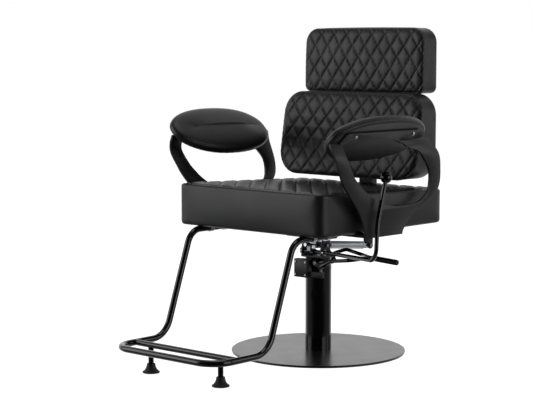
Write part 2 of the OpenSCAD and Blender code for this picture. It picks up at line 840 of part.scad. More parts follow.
// Forked pedal bar: two arms from the shaft's ends that meet in one rod
module pedal_fork() {
    arm_y = crank_y + crank_t / 2;
    join = [fork_join_x, 0, shaft_z + fork_rise];
    tip = [pedal_reach, 0, shaft_z + fork_rise - grip_drop];
    color(black_gloss) difference() {
        union() {
            translate([shaft_x, arm_y - crank_t / 2, shaft_z]) rotate([-90, 0, 0])
                cylinder(r = crank_r, h = crank_t);
            translate([shaft_x, crank_t / 2 - arm_y, shaft_z]) rotate([90, 0, 0])
                linear_extrude(crank_t) {
                    circle(r = crank_r);
                    translate([eye_dx, eye_dz]) circle(r = crank_r);
                    rotate(atan2(eye_dz, eye_dx)) translate([0, -crank_bar / 2])
                        square([norm([eye_dx, eye_dz]), crank_bar]);
                }
            bent_rod([crank_eye, crank_eye + [fork_step, 0, fork_lift],
                crank_eye + [3 * fork_step, 0, 1.5 * fork_lift], join],
                [0, fork_bend, fork_bend, 0], pedal_d);
            bent_rod([[shaft_x, arm_y, shaft_z + crank_r / 2],
                [shaft_x, arm_y, shaft_z + fork_lift + over],
                [shaft_x + 1.3 * fork_step, arm_y, shaft_z + 2 * fork_lift - over],
                [shaft_x + 3 * fork_step, arm_y, shaft_z + fork_rise - over], join],
                [0, fork_bend / 3, fork_bend, fork_bend, 0], pedal_d);
            rod_between(join, tip, pedal_d);
            translate(join) sphere(d = pedal_d + over);
        }
        translate([shaft_x, -shaft_y - over, shaft_z]) rotate([-90, 0, 0])
            cylinder(d = shaft_d + 2 * run_gap, h = 2 * (shaft_y + over));
    }
}

// Ribbed rubber grip on the pedal's end
module pedal_grip() {
    join = [fork_join_x, 0, shaft_z + fork_rise];
    tip = [pedal_reach, 0, shaft_z + fork_rise - grip_drop];
    way = unit(tip - join);
    step = grip_l / grip_ribs;
    ribs = [for (i = [0 : grip_ribs - 1]) each [[grip_d / 2, i * step],
        [grip_d / 2, (i + rib_share) * step], [grip_d / 2 - rib_deep, (i + rib_share) * step],
        [grip_d / 2 - rib_deep, (i + 1) * step]]];
    color(rubber) aim(tip + way * grip_cap - way * grip_l, way, side_of(way)) difference() {
        rotate_extrude() polygon(concat([[0, 0]], ribs, [[0, grip_l]]));
        translate([0, 0, -over])
            cylinder(d = pedal_d + 2 * run_gap, h = grip_l - grip_cap + over + run_gap);
    }
}

// Welded mount on the pump head: a plate and two cheeks that carry the seat channel
module mount_bracket() {
    color(black_satin) difference() {
        union() {
            block([-mount_w / 2, mount_y0, head_top], [mount_w, mount_l, mount_t]);
            both() {
                translate([mount_w / 2 - cheek_t, 0, 0]) rotate([90, 0, 90])
                    linear_extrude(cheek_t) polygon([[mount_y0, mount_top - over],
                        [mount_y0 + mount_l, mount_top - over],
                        [mount_y0 + mount_l, mount_top + over], [cheek_y1, mount_top + cheek_foot],
                        [cheek_y1, channel_low], [cheek_y0, channel_low],
                        [mount_y0, mount_top + cheek_foot]]);
                block([mount_w / 2 - over, cheek_y0, channel_low - cheek_t],
                    [cheek_flange + over, cheek_y1 - cheek_y0, cheek_t]);
            }
        }
        cross_bar([0, lever_y, lever_z], lever_d + 2 * run_gap, mount_w);
        cross_bar(gas_front, gas_bolt_d + 2 * run_gap, mount_w);
        at_mount_bolts() bolt_hole(bolt_grip);
        at_cheek_bolts() bolt_hole(bolt_grip);
    }
}

// Bolts from the mount into the pump head and up into the seat channel
module bracket_bolts() {
    color(steel) {
        at_mount_bolts() bolt(bolt_grip);
        at_cheek_bolts() bolt(bolt_grip);
    }
}

// Channel under the seat, with outward lips at its top
module seat_channel() {
    color(black_satin) difference() {
        union() {
            block([-channel_w / 2, channel_y0, channel_low], [channel_w, channel_l, channel_t]);
            both() {
                block([channel_w / 2 - channel_t, channel_y0, channel_low],
                    [channel_t, channel_l, channel_h]);
                block([channel_w / 2 - channel_t, channel_y0, seat_bottom - channel_t],
                    [channel_lip + channel_t, channel_l, channel_t]);
            }
        }
        at_cheek_bolts() bolt_hole(bolt_grip);
        at_lip_bolts() bolt_hole(channel_t + over);
        at_rail_bolts() bolt_hole(bolt_grip);
    }
}

// Bolts of the channel: up into the seat board, and sideways into the hinge rails
module channel_bolts() {
    color(steel) {
        at_lip_bolts() bolt(channel_t + bolt_grip);
        at_bar_bolts() bolt(rail_bar_h + bolt_grip);
        at_rail_bolts() bolt(bolt_grip);
    }
}

// Two rails that reach back from the channel to the recline hinge
module hinge_rails() {
    color(black_satin) difference() {
        both() translate([rail_x - rail_t / 2, 0, 0]) rotate([90, 0, 90]) linear_extrude(rail_t) {
            polygon([[rail_y0, channel_low + channel_t],
                [channel_y0 + channel_l, channel_low + channel_t],
                [hinge_y, hinge_z - rail_r], [hinge_y, hinge_z + rail_r],
                [hinge_y - rail_slope_l, seat_bottom], [rail_y0, seat_bottom]]);
            translate([hinge_y, hinge_z]) circle(r = rail_r);
        }
        cross_bar([0, hinge_y, hinge_z], hinge_pin_d + 2 * run_gap, mount_w);
        at_rail_bolts() bolt_hole(bolt_grip);
    }
}

// Pin of the recline hinge, held in the rails
module hinge_pin() {
    half = rail_x + rail_t / 2;
    color(steel) {
        cross_bar([0, hinge_y, hinge_z], hinge_pin_d, half + pin_head_h / 2);
        both() translate([half, hinge_y, hinge_z]) rotate([0, 90, 0])
            cylinder(d = hinge_pin_d + 2 * pin_head_h, h = pin_head_h);
    }
}

// Where a cross bar at y ends, inside the tab that it carries
function bar_end(y) = arm_x - (arm_t + tab_t) / 2 + (y + rail_bar_l / 2 - arm_mid_y) * tan(arm_toe);

// Cross bars under the seat with upright tabs for the arm plates
module arm_rails() {
    front = bar_end(rail_bar_y[0]);
    rear_start = channel_w / 2 + channel_lip;
    color(black_satin) difference() {
        union() {
            block([-front, rail_bar_y[0], arm_z0], [2 * front, rail_bar_l, rail_bar_h]);
            both() {
                block([rear_start, rail_bar_y[1], arm_z0],
                    [bar_end(rail_bar_y[1]) - rear_start, rail_bar_l, rail_bar_h]);
                arm_place() for (y = rail_bar_y)
                    block([-arm_t / 2 - tab_t, y - arm_mid_y, arm_z0], [tab_t, rail_bar_l, tab_h]);
            }
        }
        at_arm_bolts() bolt_hole(tab_t + over);
        at_bar_bolts() bolt_hole(rail_bar_h + over);
    }
}

// Plywood board inside the seat cushion, notched for the back spine
module seat_board() {
    color(wood) difference() {
        round_block([-seat_w / 2 + board_inset, seat_front + board_inset, seat_bottom],
            [seat_w - 2 * board_inset, seat_l - 2 * board_inset, board_t], seat_r - board_inset);
        block([-notch_w / 2, seat_rear - notch_l, seat_bottom - over],
            [notch_w, notch_l + over, board_t + 2 * over]);
        at_lip_bolts() bolt_hole(channel_t + bolt_grip);
        at_bar_bolts() bolt_hole(rail_bar_h + bolt_grip);
        at_clamp_screws() screw_hole(clamp_screw_d, clamp_t + clamp_screw_l);
    }
}

// Quilted seat cushion over its board
module seat_cushion() {
    inset = board_inset - soft_gap;
    color(leather) difference() {
        translate([0, seat_mid_y, seat_bottom]) quilted_cushion(seat_w, seat_l, seat_side_h,
            seat_side_h, 0, seat_crown, seat_r, seat_r);
        round_block([-seat_w / 2 + inset, seat_front + inset, seat_bottom - over],
            [seat_w - 2 * inset, seat_l - 2 * inset, board_t + over], seat_r - inset);
        block([-notch_w / 2, seat_rear - notch_l, seat_bottom - over],
            [notch_w, notch_l + over, seat_side_h + seat_crown + 2 * over]);
    }
}

// Footrest: one bent tube, down in front of the seat and round to the front bar
module footrest_frame() {
    color(black_gloss) bent_rod([[foot_x, foot_back_y, foot_top_z], [foot_x, foot_bend_y, foot_top_z],
        [foot_x, foot_low_y, foot_z], [foot_x, -foot_reach, foot_z], [-foot_x, -foot_reach, foot_z],
        [-foot_x, foot_low_y, foot_z], [-foot_x, foot_bend_y, foot_top_z],
        [-foot_x, foot_back_y, foot_top_z]], [0, foot_bend_top, foot_bend_low, foot_corner,
        foot_corner, foot_bend_low, foot_bend_top, 0], foot_tube_d);
}

// Bar across the footrest behind its front bar, cut to the side tubes
module footrest_crossbar() {
    color(black_gloss) difference() {
        cross_bar([0, crossbar_y, foot_z], crossbar_d, foot_x);
        both() translate([foot_x, crossbar_y - foot_corner, foot_z]) rotate([-90, 0, 0])
            cylinder(d = foot_tube_d, h = 2 * foot_corner);
    }
}

// Saddles that hold the footrest's tubes under the seat board
module footrest_clamps() {
    color(steel) difference() {
        at_clamps() {
            block([-clamp_w / 2, -clamp_l / 2, seat_bottom - clamp_t], [clamp_w, clamp_l, clamp_t]);
            translate([0, -clamp_l / 2, foot_top_z]) rotate([-90, 0, 0])
                cylinder(d = foot_tube_d + 2 * clamp_t, h = clamp_l);
        }
        at_clamps() {
            translate([0, -clamp_l, foot_top_z]) rotate([-90, 0, 0])
                cylinder(d = foot_tube_d + 2 * run_gap, h = 2 * clamp_l);
            block([-clamp_w, -clamp_l, seat_bottom], [2 * clamp_w, 2 * clamp_l, clamp_w]);
            block([-foot_tube_d / 2 - run_gap, -clamp_l, foot_top_z],
                [foot_tube_d + 2 * run_gap, 2 * clamp_l, foot_tube_d]);
        }
        at_clamp_screws() screw_hole(clamp_screw_d, clamp_t + over);
    }
}

// Screws of the footrest's saddles
module clamp_screws() {
    color(steel) at_clamp_screws()
        screw(clamp_screw_d, 2 * clamp_screw_d, clamp_t, clamp_t + clamp_screw_l);
}

// Short stems under the footrest's cross bar
module footrest_stems() {
    low = foot_clear + stem_sink;
    color(black_gloss) difference() {
        for (x = [-foot_stem_x, foot_stem_x]) translate([x, crossbar_y, low])
            cylinder(d = stem_d, h = foot_z - stem_drop - low);
        cross_bar([0, crossbar_y, foot_z], crossbar_d, foot_x);
    }
}

// Bell-shaped rubber feet on the stems
module footrest_feet() {
    color(rubber) for (x = [-foot_stem_x, foot_stem_x]) translate([x, crossbar_y, foot_clear])
        difference() {
            rotate_extrude() polygon([for (p = foot_shares) [p[0] * foot_d / 2, p[1] * bell_h]]);
            translate([0, 0, stem_sink]) cylinder(d = stem_d + 2 * run_gap, h = bell_h);
        }
}

// A point on a smooth curve through four points, t from 0 to 1 between the middle two
function curve_point(a, b, c, d, t) = 0.5 * (2 * b + (c - a) * t + (2 * a - 5 * b + 4 * c - d) * t * t
    + (3 * b - a - 3 * c + d) * t * t * t);

// Points of a smooth curve through a list of points
function smooth(p, steps) = concat([for (i = [0 : len(p) - 2], k = [0 : steps - 1])
    curve_point(p[max(i - 1, 0)], p[i], p[i + 1], p[min(i + 2, len(p) - 1)], k / steps)],
    [p[len(p) - 1]]);

// Points of an arm plate given as shares of its length and height
function arm_points(shares) = [for (p = smooth(shares, arm_steps))
    [arm_y0 - arm_mid_y + p[0] * arm_len, arm_z0 + p[1] * arm_rise]];

// Place children in the left armrest's frame: X out of the plate's middle, Y along it
module arm_place() {
    translate([arm_x, arm_mid_y, 0]) rotate([0, 0, -arm_toe]) children();
}

// Place children in the left pad's frame: X up across the pad, Y along it, Z out of it
module pad_place() {
    arm_place() translate([pad_dx, pad_dy, pad_z]) rotate([0, -pad_tilt, 0]) children();
}

// Where the pads' screws stand, on the flange's lower face
module at_arm_screws() {
    pad_place() for (y = arm_screw_y) translate([arm_screw_u, y, pad_low - flange_t]) children();
}

// Outline point of a pad at angle a, drawn in by inset
function pad_point(a, inset) =
    let (c = cos(a), s = sin(a),
         v = (pad_l / 2 - inset) * sign(c) * pow(abs(c), 2 / pad_power),
         u = (pad_w / 2 - inset) * sign(s) * pow(abs(s), 2 / pad_power))
    v > 0 ? [u, v] : [u * (1 - pad_tip_share * pow(2 * v / pad_l, 2))
        + pad_tip_side * pow(2 * v / pad_l, 2), v];

// Outline of a pad drawn in by inset
module pad_outline(inset) {
    polygon([for (i = [0 : pad_steps - 1]) pad_point(-i * 360 / pad_steps, inset)]);
}

// Section of a bowed arm plate, seen along its length
function bow_points() =
    let (line = [for (p = smooth(arm_bow_shares, bow_steps))
        [p[0] * arm_bow, arm_z0 + p[1] * arm_rise]], n = len(line) - 1)
    concat([for (p = line) [p[0] - arm_t / 2, p[1]]],
        [for (i = [n : -1 : 0]) [line[i][0] + arm_t / 2, line[i][1]]]);

// Arm plate: two legs round an opening, cut to the pad's slope and joined by a flange under it
module arm_frame() {
    color(black_satin) difference() {
        union() {
            difference() {
                arm_place() intersection() {
                    translate([-arm_len / 2, 0, 0]) rotate([90, 0, 90]) linear_extrude(arm_len)
                        polygon(concat(arm_points(arm_front_shares), arm_points(arm_rear_shares),
                            arm_points(arm_inner_shares)));
                    translate([0, arm_len, 0]) rotate([90, 0, 0]) linear_extrude(2 * arm_len)
                        polygon(bow_points());
                }
                pad_place() block([-pad_l, -pad_l, pad_low], [2 * pad_l, 2 * pad_l, pad_l]);
            }
            pad_place() translate([0, flange_y - flange_l / 2, 0])
                round_block([flange_u, 0, pad_low - flange_t], [flange_w, flange_l, flange_t],
                    2 * flange_t);
        }
        at_arm_screws() screw_hole(arm_screw_d, flange_t + over);
        at_arm_bolts() bolt_hole(tab_t + arm_t - over);
    }
}

// Bolts from the rails' tabs into the arm plates
module arm_bolts() {
    color(steel) at_arm_bolts() bolt(tab_t + arm_t - over);
}

// Board under an arm pad
module arm_board() {
    color(wood) difference() {
        pad_place() translate([0, 0, pad_low]) linear_extrude(pad_board_t) pad_outline(pad_board_in);
        at_arm_screws() screw_hole(arm_screw_d, arm_screw_l);
    }
}

// Upholstered arm pad, domed over its board
module arm_pad() {
    n = pad_steps;
    rows = len(pad_shares);
    rings = [for (r = pad_shares, i = [0 : n - 1])
        let (p = pad_point(i * 360 / n, r[0] * pad_w / 2)) [p[0], p[1], r[1] * (pad_board_t + pad_t)]];
    walls = [for (r = [0 : rows - 2], i = [0 : n - 1])
        let (a = r * n + i, b = r * n + (i + 1) % n)
        each [[a, b, b + n], [a, b + n, a + n]]];
    caps = [for (i = [0 : n - 1]) let (k = (i + 1) % n)
        each [[n * rows, k, i], [n * rows + 1, (rows - 1) * n + i, (rows - 1) * n + k]]];
    color(leather) pad_place() difference() {
        translate([0, 0, pad_low]) polyhedron(concat(rings,
            [[0, 0, 0], [0, 0, pad_board_t + pad_t]]), concat(walls, caps));
        translate([0, 0, pad_low - over]) linear_extrude(pad_board_t + over)
            pad_outline(pad_board_in - soft_gap);
    }
}

// Screws that hold the arm pads to their flanges
module arm_screws() {
    color(steel) both() at_arm_screws()
        screw(arm_screw_d, arm_screw_head, arm_screw_h, arm_screw_l);
}

// Recline lever: a shaft under the seat that runs out and up beside the armrest
module recline_lever() {
    color(black_gloss) bent_rod(lever_path, lever_bends, lever_d);
}

// Ball on the end of the recline lever
module lever_knob() {
    color(black_gloss) difference() {
        translate(lever_path[4]) sphere(d = knob_d);
        rod_between(lever_path[3], lever_path[4] + knob_set * unit(lever_path[4] - lever_path[3]),
            lever_d + 2 * run_gap);
    }
}

// Collars that keep the lever's shaft between the mount's cheeks
module lever_collars() {
    color(steel) difference() {
        both() translate([mount_w / 2 + soft_gap, lever_y, lever_z]) rotate([0, 90, 0])
            cylinder(d = collar_d, h = collar_w);
        cross_bar([0, lever_y, lever_z], lever_d + 2 * run_gap, mount_w);
    }
}

// Place children in the gas spring's frame: Z along it from the front pivot
module gas_place() {
    aim(gas_front, unit(gas_run), [1, 0, 0]) children();
}

// Arm on the lever's shaft that stands before the gas spring's release pin
module lever_cam() {
    color(steel) difference() {
        translate([-cam_w / 2, 0, 0]) rotate([90, 0, 90]) linear_extrude(cam_w) {
            translate([lever_y, lever_z]) circle(r = cam_hub_r);
            polygon([[lever_y, lever_z - cam_t / 2], [lever_y, lever_z + cam_hub_r - seat_gap],
                [lever_y + cam_y + cam_t, lever_z + cam_hub_r + over],
                [lever_y + cam_y + cam_t, gas_z + cam_t + over],
                [lever_y + cam_y, gas_z + cam_t + over], [lever_y + cam_y, lever_z + cam_t / 2]]);
        }
        cross_bar([0, lever_y, lever_z], lever_d + 2 * run_gap, mount_w);
        gas_place() translate([0, 0, -cam_screw_end]) cylinder(d = cam_screw_d + 2 * run_gap,
            h = cam_screw_end);
    }
}

// Adjusting screw in that arm, with two nuts
module cam_screw() {
    front = (lever_y + cam_y - gas_y);
    color(silver) {
        gas_place() translate([0, 0, -cam_screw_end])
            cylinder(d = cam_screw_d, h = cam_screw_end - release_out - soft_gap);
        gas_place() for (k = [0, 1]) translate([0, 0, front - 1.6 * cam_nut_h - 1.4 * k * cam_nut_h])
            cylinder(d = cam_nut_d, h = cam_nut_h, $fn = 6);
    }
}

// Bolt across the mount that the gas spring's head turns on
module gas_pivot_bolt() {
    color(steel) {
        cross_bar(gas_front, gas_bolt_d, mount_w / 2 + bolt_head_h / 2);
        both() translate([mount_w / 2, gas_front[1], gas_front[2]]) rotate([0, 90, 0])
            cylinder(d = bolt_head_d, h = bolt_head_h, $fn = 6);
    }
}

// Tubes on that bolt, between the spring's head and the cheeks
module gas_spacers() {
    color(steel) difference() {
        both() translate([gas_head_d / 2 + run_gap, gas_front[1], gas_front[2]]) rotate([0, 90, 0])
            cylinder(d = spacer_d, h = mount_w / 2 - cheek_t - gas_head_d / 2 - run_gap);
        cross_bar(gas_front, gas_bolt_d + 2 * run_gap, mount_w);
    }
}

// Release head of the gas spring
module gas_head() {
    color(steel) difference() {
        gas_place() translate([0, 0, -gas_head_front])
            cylinder(d = gas_head_d, h = gas_head_front + gas_head_back);
        cross_bar(gas_front, gas_bolt_d + 2 * run_gap, gas_head_d);
        gas_place() translate([0, 0, -gas_head_front - over])
            cylinder(d = release_d + 2 * run_gap, h = gas_head_front + over - release_in / 2);
        gas_place() translate([0, 0, gas_head_back - rod_sink])
            cylinder(d = gas_rod_d + 2 * run_gap, h = rod_sink + over);
    }
}

// Piston rod of the gas spring, with its piston inside the cylinder
module gas_rod() {
    color(silver) gas_place() {
        translate([0, 0, gas_head_back - rod_sink])
            cylinder(d = gas_rod_d, h = gas_rod_end - gas_head_back + rod_sink);
        translate([0, 0, gas_rod_end - piston_l])
            cylinder(d = gas_d - 2 * gas_wall - 2 * run_gap, h = piston_l);
    }
}

// Brass pin that opens the gas spring's valve
module release_pin() {
    color(brass) gas_place() translate([0, 0, -release_out])
        cylinder(d = release_d, h = release_out - release_in);
}

// Cylinder of the gas spring
module gas_cylinder() {
    color(silver) gas_place() difference() {
        translate([0, 0, gas_cyl_start]) cylinder(d = gas_d, h = gas_cyl_end - gas_cyl_start);
        translate([0, 0, gas_cyl_start + gas_cap])
            cylinder(d = gas_d - 2 * gas_wall, h = gas_cyl_end - gas_cyl_start - gas_cap - gas_wall);
        translate([0, 0, gas_cyl_start - over])
            cylinder(d = gas_rod_d + 2 * run_gap, h = gas_cap + 2 * over);
        translate([0, 0, gas_cyl_end - gas_cap]) difference() {
            cylinder(d = gas_d + over, h = gas_wall);
            translate([0, 0, -over]) cylinder(d = gas_d - over, h = gas_wall + 2 * over);
        }
    }
}

// Eye at the rear of the gas spring; its bore is wide, since the linkage is opened here
module gas_eye() {
    color(steel) gas_place() difference() {
        union() {
            translate([0, 0, gas_cyl_end]) cylinder(d = eye_neck_d, h = gas_len - gas_cyl_end);
            translate([-eye_t / 2, 0, gas_len]) rotate([0, 90, 0]) cylinder(d = eye_d, h = eye_t);
        }
        translate([-eye_t, 0, gas_len]) rotate([0, 90, 0]) cylinder(d = eye_bore_d, h = 2 * eye_t);
    }
}

// Spine of the back: a tube open at its top, with the hinge barrel on its front and two lugs at
// its foot
module back_spine() {
    color(black_satin) difference() {
        union() {
            block([-spine_w / 2, spine_front, spine_low], [spine_w, spine_l, spine_top - spine_low]);
            cross_bar([0, hinge_y, hinge_z], barrel_d, barrel_half);
            both() {
                block([lug_gap / 2, gas_eye_at[1] - lug_r, gas_eye_at[2]],
                    [lug_t, 2 * lug_r, spine_low + over - gas_eye_at[2]]);
                translate([lug_gap / 2, gas_eye_at[1], gas_eye_at[2]]) rotate([0, 90, 0])
                    cylinder(r = lug_r, h = lug_t);
            }
        }
        block([-spine_w / 2 + spine_wall, spine_front + spine_wall, spine_low + spine_cap],
            [spine_w - 2 * spine_wall, spine_l - 2 * spine_wall,
            spine_top - spine_low - spine_cap + over]);
        cross_bar([0, hinge_y, hinge_z], hinge_pin_d + 2 * run_gap, mount_w);
        cross_bar(gas_eye_at, eye_pin_d + 2 * run_gap, mount_w);
    }
}

// Pin through the spine's lugs and the gas spring's eye
module eye_pin() {
    half = lug_gap / 2 + lug_t;
    color(steel) {
        cross_bar(gas_eye_at, eye_pin_d, half + pin_head_h / 2);
        both() translate([half, gas_eye_at[1], gas_eye_at[2]]) rotate([0, 90, 0])
            cylinder(d = eye_pin_d + 2 * pin_head_h, h = pin_head_h);
    }
}

// Ears beside the spine for the back board, and the block that reaches the head board
module back_plates() {
    color(black_satin) difference() {
        union() {
            both() for (z = ear_plate_z)
                block([spine_w / 2, spine_front, z], [ear_plate_w, ear_plate_t, ear_plate_h]);
            block([-spacer_w / 2, spine_front + spine_l, spacer_z],
                [spacer_w, head_rear - back_board_t - spine_front - spine_l, spacer_h]);
        }
        at_ear_bolts() bolt_hole(ear_plate_t + over);
        at_head_bolts() bolt_hole(back_board_t + bolt_grip);
    }
}

// Bolts of the two back boards
module back_bolts() {
    color(steel) {
        at_ear_bolts() bolt(bolt_grip);
        at_head_bolts() bolt(back_board_t + bolt_grip);
    }
}

// A board with round corners standing in the XZ plane, its rear face at y
module standing_board(w, h, low, y, r_top, r_low, t, grow) {
    translate([0, y, low + h / 2]) rotate([90, 0, 0]) linear_extrude(t) {
        for (s = [-1, 1]) {
            translate([s * (w / 2 - r_top), h / 2 - r_top]) circle(r = r_top + grow);
            translate([s * (w / 2 - r_low), -h / 2 + r_low]) circle(r = r_low + grow);
        }
        translate([-w / 2 + r_top, -h / 2 + r_low]) square([w - 2 * r_top, h - r_low - r_top]);
        translate([-w / 2 - grow, -h / 2 + r_low]) square([w + 2 * grow, h - r_low - r_top]);
        translate([-w / 2 + r_top, 0]) square([w - 2 * r_top, h / 2 + grow]);
        translate([-w / 2 + r_low, -h / 2 - grow]) square([w - 2 * r_low, h / 2]);
    }
}

// Board at the rear of the lower back cushion
module back_board_form(grow) {
    standing_board(back_w - 2 * back_board_inset, back_h - 2 * back_board_inset,
        back_low + back_board_inset, spine_front + (grow > 0 ? over : 0),
        back_r_top - back_board_inset, back_r_low - back_board_inset,
        back_board_t + (grow > 0 ? over : 0), grow);
}
module back_board() {
    color(wood) difference() {
        back_board_form(0);
        at_ear_bolts() bolt_hole(bolt_grip);
    }
}

// Quilted lower back cushion, thicker at its foot
module back_cushion() {
    color(leather) difference() {
        translate([0, spine_front, (back_low + back_top) / 2]) rotate([90, 0, 0])
            quilted_cushion(back_w, back_h, back_t_low, back_t_high, back_bow, back_crown,
                back_r_top, back_r_low);
        back_board_form(soft_gap);
    }
}

// Board at the rear of the upper cushion
module head_board_form(grow) {
    standing_board(head_w - 2 * back_board_inset, head_cushion_h - 2 * back_board_inset,
        head_low_z + back_board_inset, head_rear + (grow > 0 ? over : 0),
        head_r_top - back_board_inset, head_r_low - back_board_inset + over,
        back_board_t + (grow > 0 ? over : 0), grow);
}
module head_board() {
    color(wood) difference() {
        head_board_form(0);
        at_head_bolts() bolt_hole(back_board_t + bolt_grip);
    }
}

// Quilted upper cushion, open below and behind for the spine and its block
module head_cushion() {
    color(leather) difference() {
        translate([0, head_rear, head_low_z + head_cushion_h / 2]) rotate([90, 0, 0])
            quilted_cushion(head_w, head_cushion_h, head_t, head_t - head_taper, back_bow,
                head_crown, head_r_top, head_r_low);
        head_board_form(soft_gap);
        block([-spine_w / 2 - soft_gap, spine_front - soft_gap, head_low_z - over],
            [spine_w + 2 * soft_gap, spine_l + 2 * soft_gap, spine_top - head_low_z + over]);
        block([-spacer_w / 2 - soft_gap, spine_front + spine_l, spacer_z - soft_gap],
            [spacer_w + 2 * soft_gap, head_rear - spine_front - spine_l - back_board_t + soft_gap,
            spacer_h + 2 * soft_gap]);
    }
}

// Each line draws one sub-part
base_disc();
floor_pad();
base_flange();
base_screws();
column_sleeve();
guide_bush();
piston_rod();
lift_tube();
rod_gland();
thrust_ring();
pump_head();
oil_reservoir();
reservoir_screws();
pump_plunger();
pedal_shaft();
pedal_fork();
pedal_grip();
mount_bracket();
bracket_bolts();
seat_channel();
channel_bolts();
hinge_rails();
hinge_pin();
arm_rails();
seat_board();
seat_cushion();
footrest_frame();
footrest_crossbar();
footrest_clamps();
clamp_screws();
footrest_stems();
footrest_feet();
arm_frame();  // arm_frame_left
mirror([1, 0, 0]) arm_frame();  // arm_frame_right
arm_bolts();
arm_board();  // arm_board_left
mirror([1, 0, 0]) arm_board();  // arm_board_right
arm_pad();  // arm_pad_left
mirror([1, 0, 0]) arm_pad();  // arm_pad_right
arm_screws();
recline_lever();
lever_knob();
lever_collars();
lever_cam();
cam_screw();
gas_pivot_bolt();
gas_spacers();
gas_head();
gas_rod();
release_pin();
gas_cylinder();
gas_eye();
back_spine();
eye_pin();
back_plates();
back_bolts();
back_board();
back_cushion();
head_board();
head_cushion();
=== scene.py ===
import math
import bpy
import numpy as np
from mathutils import Matrix, Vector


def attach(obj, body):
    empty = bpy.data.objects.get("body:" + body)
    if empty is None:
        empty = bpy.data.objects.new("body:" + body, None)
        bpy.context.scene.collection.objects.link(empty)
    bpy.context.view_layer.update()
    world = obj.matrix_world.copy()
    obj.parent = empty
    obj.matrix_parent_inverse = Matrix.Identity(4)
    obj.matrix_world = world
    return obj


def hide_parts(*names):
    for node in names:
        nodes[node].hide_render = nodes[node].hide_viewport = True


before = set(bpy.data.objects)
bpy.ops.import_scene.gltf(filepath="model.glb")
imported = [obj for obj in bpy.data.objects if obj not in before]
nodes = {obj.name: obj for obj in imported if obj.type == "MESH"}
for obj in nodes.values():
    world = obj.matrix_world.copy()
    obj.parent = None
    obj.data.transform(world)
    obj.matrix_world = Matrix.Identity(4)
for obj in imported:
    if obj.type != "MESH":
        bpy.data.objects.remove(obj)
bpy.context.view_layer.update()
scene = bpy.context.scene
mm = 0.001
# degrees between two faces from which an edge stays sharp, on metal and on leather
metalEdge = 38
leatherEdge = 60
# points nearer to each other than this are welded
weldReach = 1e-6
print("frame loaded")


# selecting, editing and moving points

def makeActive(piece):
    bpy.ops.object.select_all(action="DESELECT")
    piece.select_set(True)
    bpy.context.view_layer.objects.active = piece


def startEditing(piece, kind="VERT", selected="DESELECT"):
    makeActive(piece)
    bpy.ops.object.mode_set(mode="EDIT")
    bpy.ops.mesh.select_mode(type=kind)
    bpy.ops.mesh.select_all(action=selected)


def stopEditing():
    bpy.ops.object.mode_set(mode="OBJECT")


def settle(piece, name):
    piece.name = name
    makeActive(piece)
    bpy.ops.object.transform_apply(location=True, rotation=True, scale=True)
    return piece


def applyAll(piece):
    makeActive(piece)
    for modifier in list(piece.modifiers):
        bpy.ops.object.modifier_apply(modifier=modifier.name)


def smooth(piece, angle=metalEdge):
    makeActive(piece)
    bpy.ops.object.shade_smooth_by_angle(angle=math.radians(angle))


def pointsOf(piece):
    co = np.empty(len(piece.data.vertices) * 3, np.float32)
    piece.data.vertices.foreach_get("co", co)
    return co.reshape(-1, 3).astype(float)


def movePoints(piece, co):
    piece.data.vertices.foreach_set("co", co.astype(np.float32).ravel())
    piece.data.update()


def turnOutwards(piece, reach=0):
    startEditing(piece, selected="SELECT")
    if reach:
        bpy.ops.mesh.remove_doubles(threshold=reach)
    bpy.ops.mesh.normals_make_consistent(inside=False)
    stopEditing()


def mirrored(piece, name):
    twin = piece.copy()
    twin.data = piece.data.copy()
    scene.collection.objects.link(twin)
    twin.scale = (-1, 1, 1)
    settle(twin, name)
    turnOutwards(twin)
    return twin


def copyOf(node, name):
    piece = nodes[node].copy()
    piece.data = nodes[node].data.copy()
    piece.parent = None
    scene.collection.objects.link(piece)
    settle(piece, name)
    bpy.ops.mesh.customdata_custom_splitnormals_clear()
    turnOutwards(piece, 2 * weldReach)
    return piece


def finishPiece(piece, material, body, *replaced):
    piece.data.materials.clear()
    piece.data.materials.append(material)
    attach(piece, body)
    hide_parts(*replaced)


# materials

def linear(code):
    channels = [int(code[i:i + 2], 16) / 255 for i in (1, 3, 5)]
    return [c / 12.92 if c <= 0.04045 else ((c + 0.055) / 1.055) ** 2.4 for c in channels] + [1]


def addNode(tree, kind, feeds=None, **settings):
    made = tree.nodes.new(kind)
    for name, value in settings.items():
        setattr(made, name, value)
    for socket, value in (feeds or {}).items():
        if isinstance(value, bpy.types.NodeSocket):
            tree.links.new(value, made.inputs[socket])
        else:
            made.inputs[socket].default_value = value
    return made


def mathNode(tree, operation, first, second):
    return addNode(tree, "ShaderNodeMath", {0: first, 1: second}, operation=operation).outputs[0]


def mixTones(tree, factor, first, second):
    return addNode(tree, "ShaderNodeMix", {0: factor, 6: first, 7: second},
                   data_type="RGBA").outputs[2]


def ramp(tree, value, start, end, low=0.0, high=1.0, blend="LINEAR"):
    return addNode(tree, "ShaderNodeMapRange", {"Value": value, "From Min": start, "From Max": end,
                   "To Min": low, "To Max": high}, interpolation_type=blend).outputs[0]


def startMaterial(name, sockets):
    material = bpy.data.materials.new(name)
    material.use_nodes = True
    tree = material.node_tree
    shader = tree.nodes["Principled BSDF"]
    for socket, value in sockets.items():
        shader.inputs[socket].default_value = value
    return material, tree, shader


def plugIn(tree, shader, tone, rough, bump):
    tree.links.new(tone, shader.inputs["Base Color"])
    tree.links.new(rough, shader.inputs["Roughness"])
    tree.links.new(bump, shader.inputs["Normal"])


# "thread" and "channel" are measured from a line's middle, as shares of the lines' spacing.
# Ten stitches from one crossing to the next are about 5 mm each.
# paintedShade is a painted shade colour laid into each channel, darkest at the line of stitches
stitchLook = {"thread": (0.009, 0.015), "channel": (0.012, 0.036), "perSide": 10.0,
              "gap": (0.06, 0.14), "tone": "#151517", "paintedShade": "#0a0a0b",
              "threadRise": 0.5, "channelDepth": 1.6}


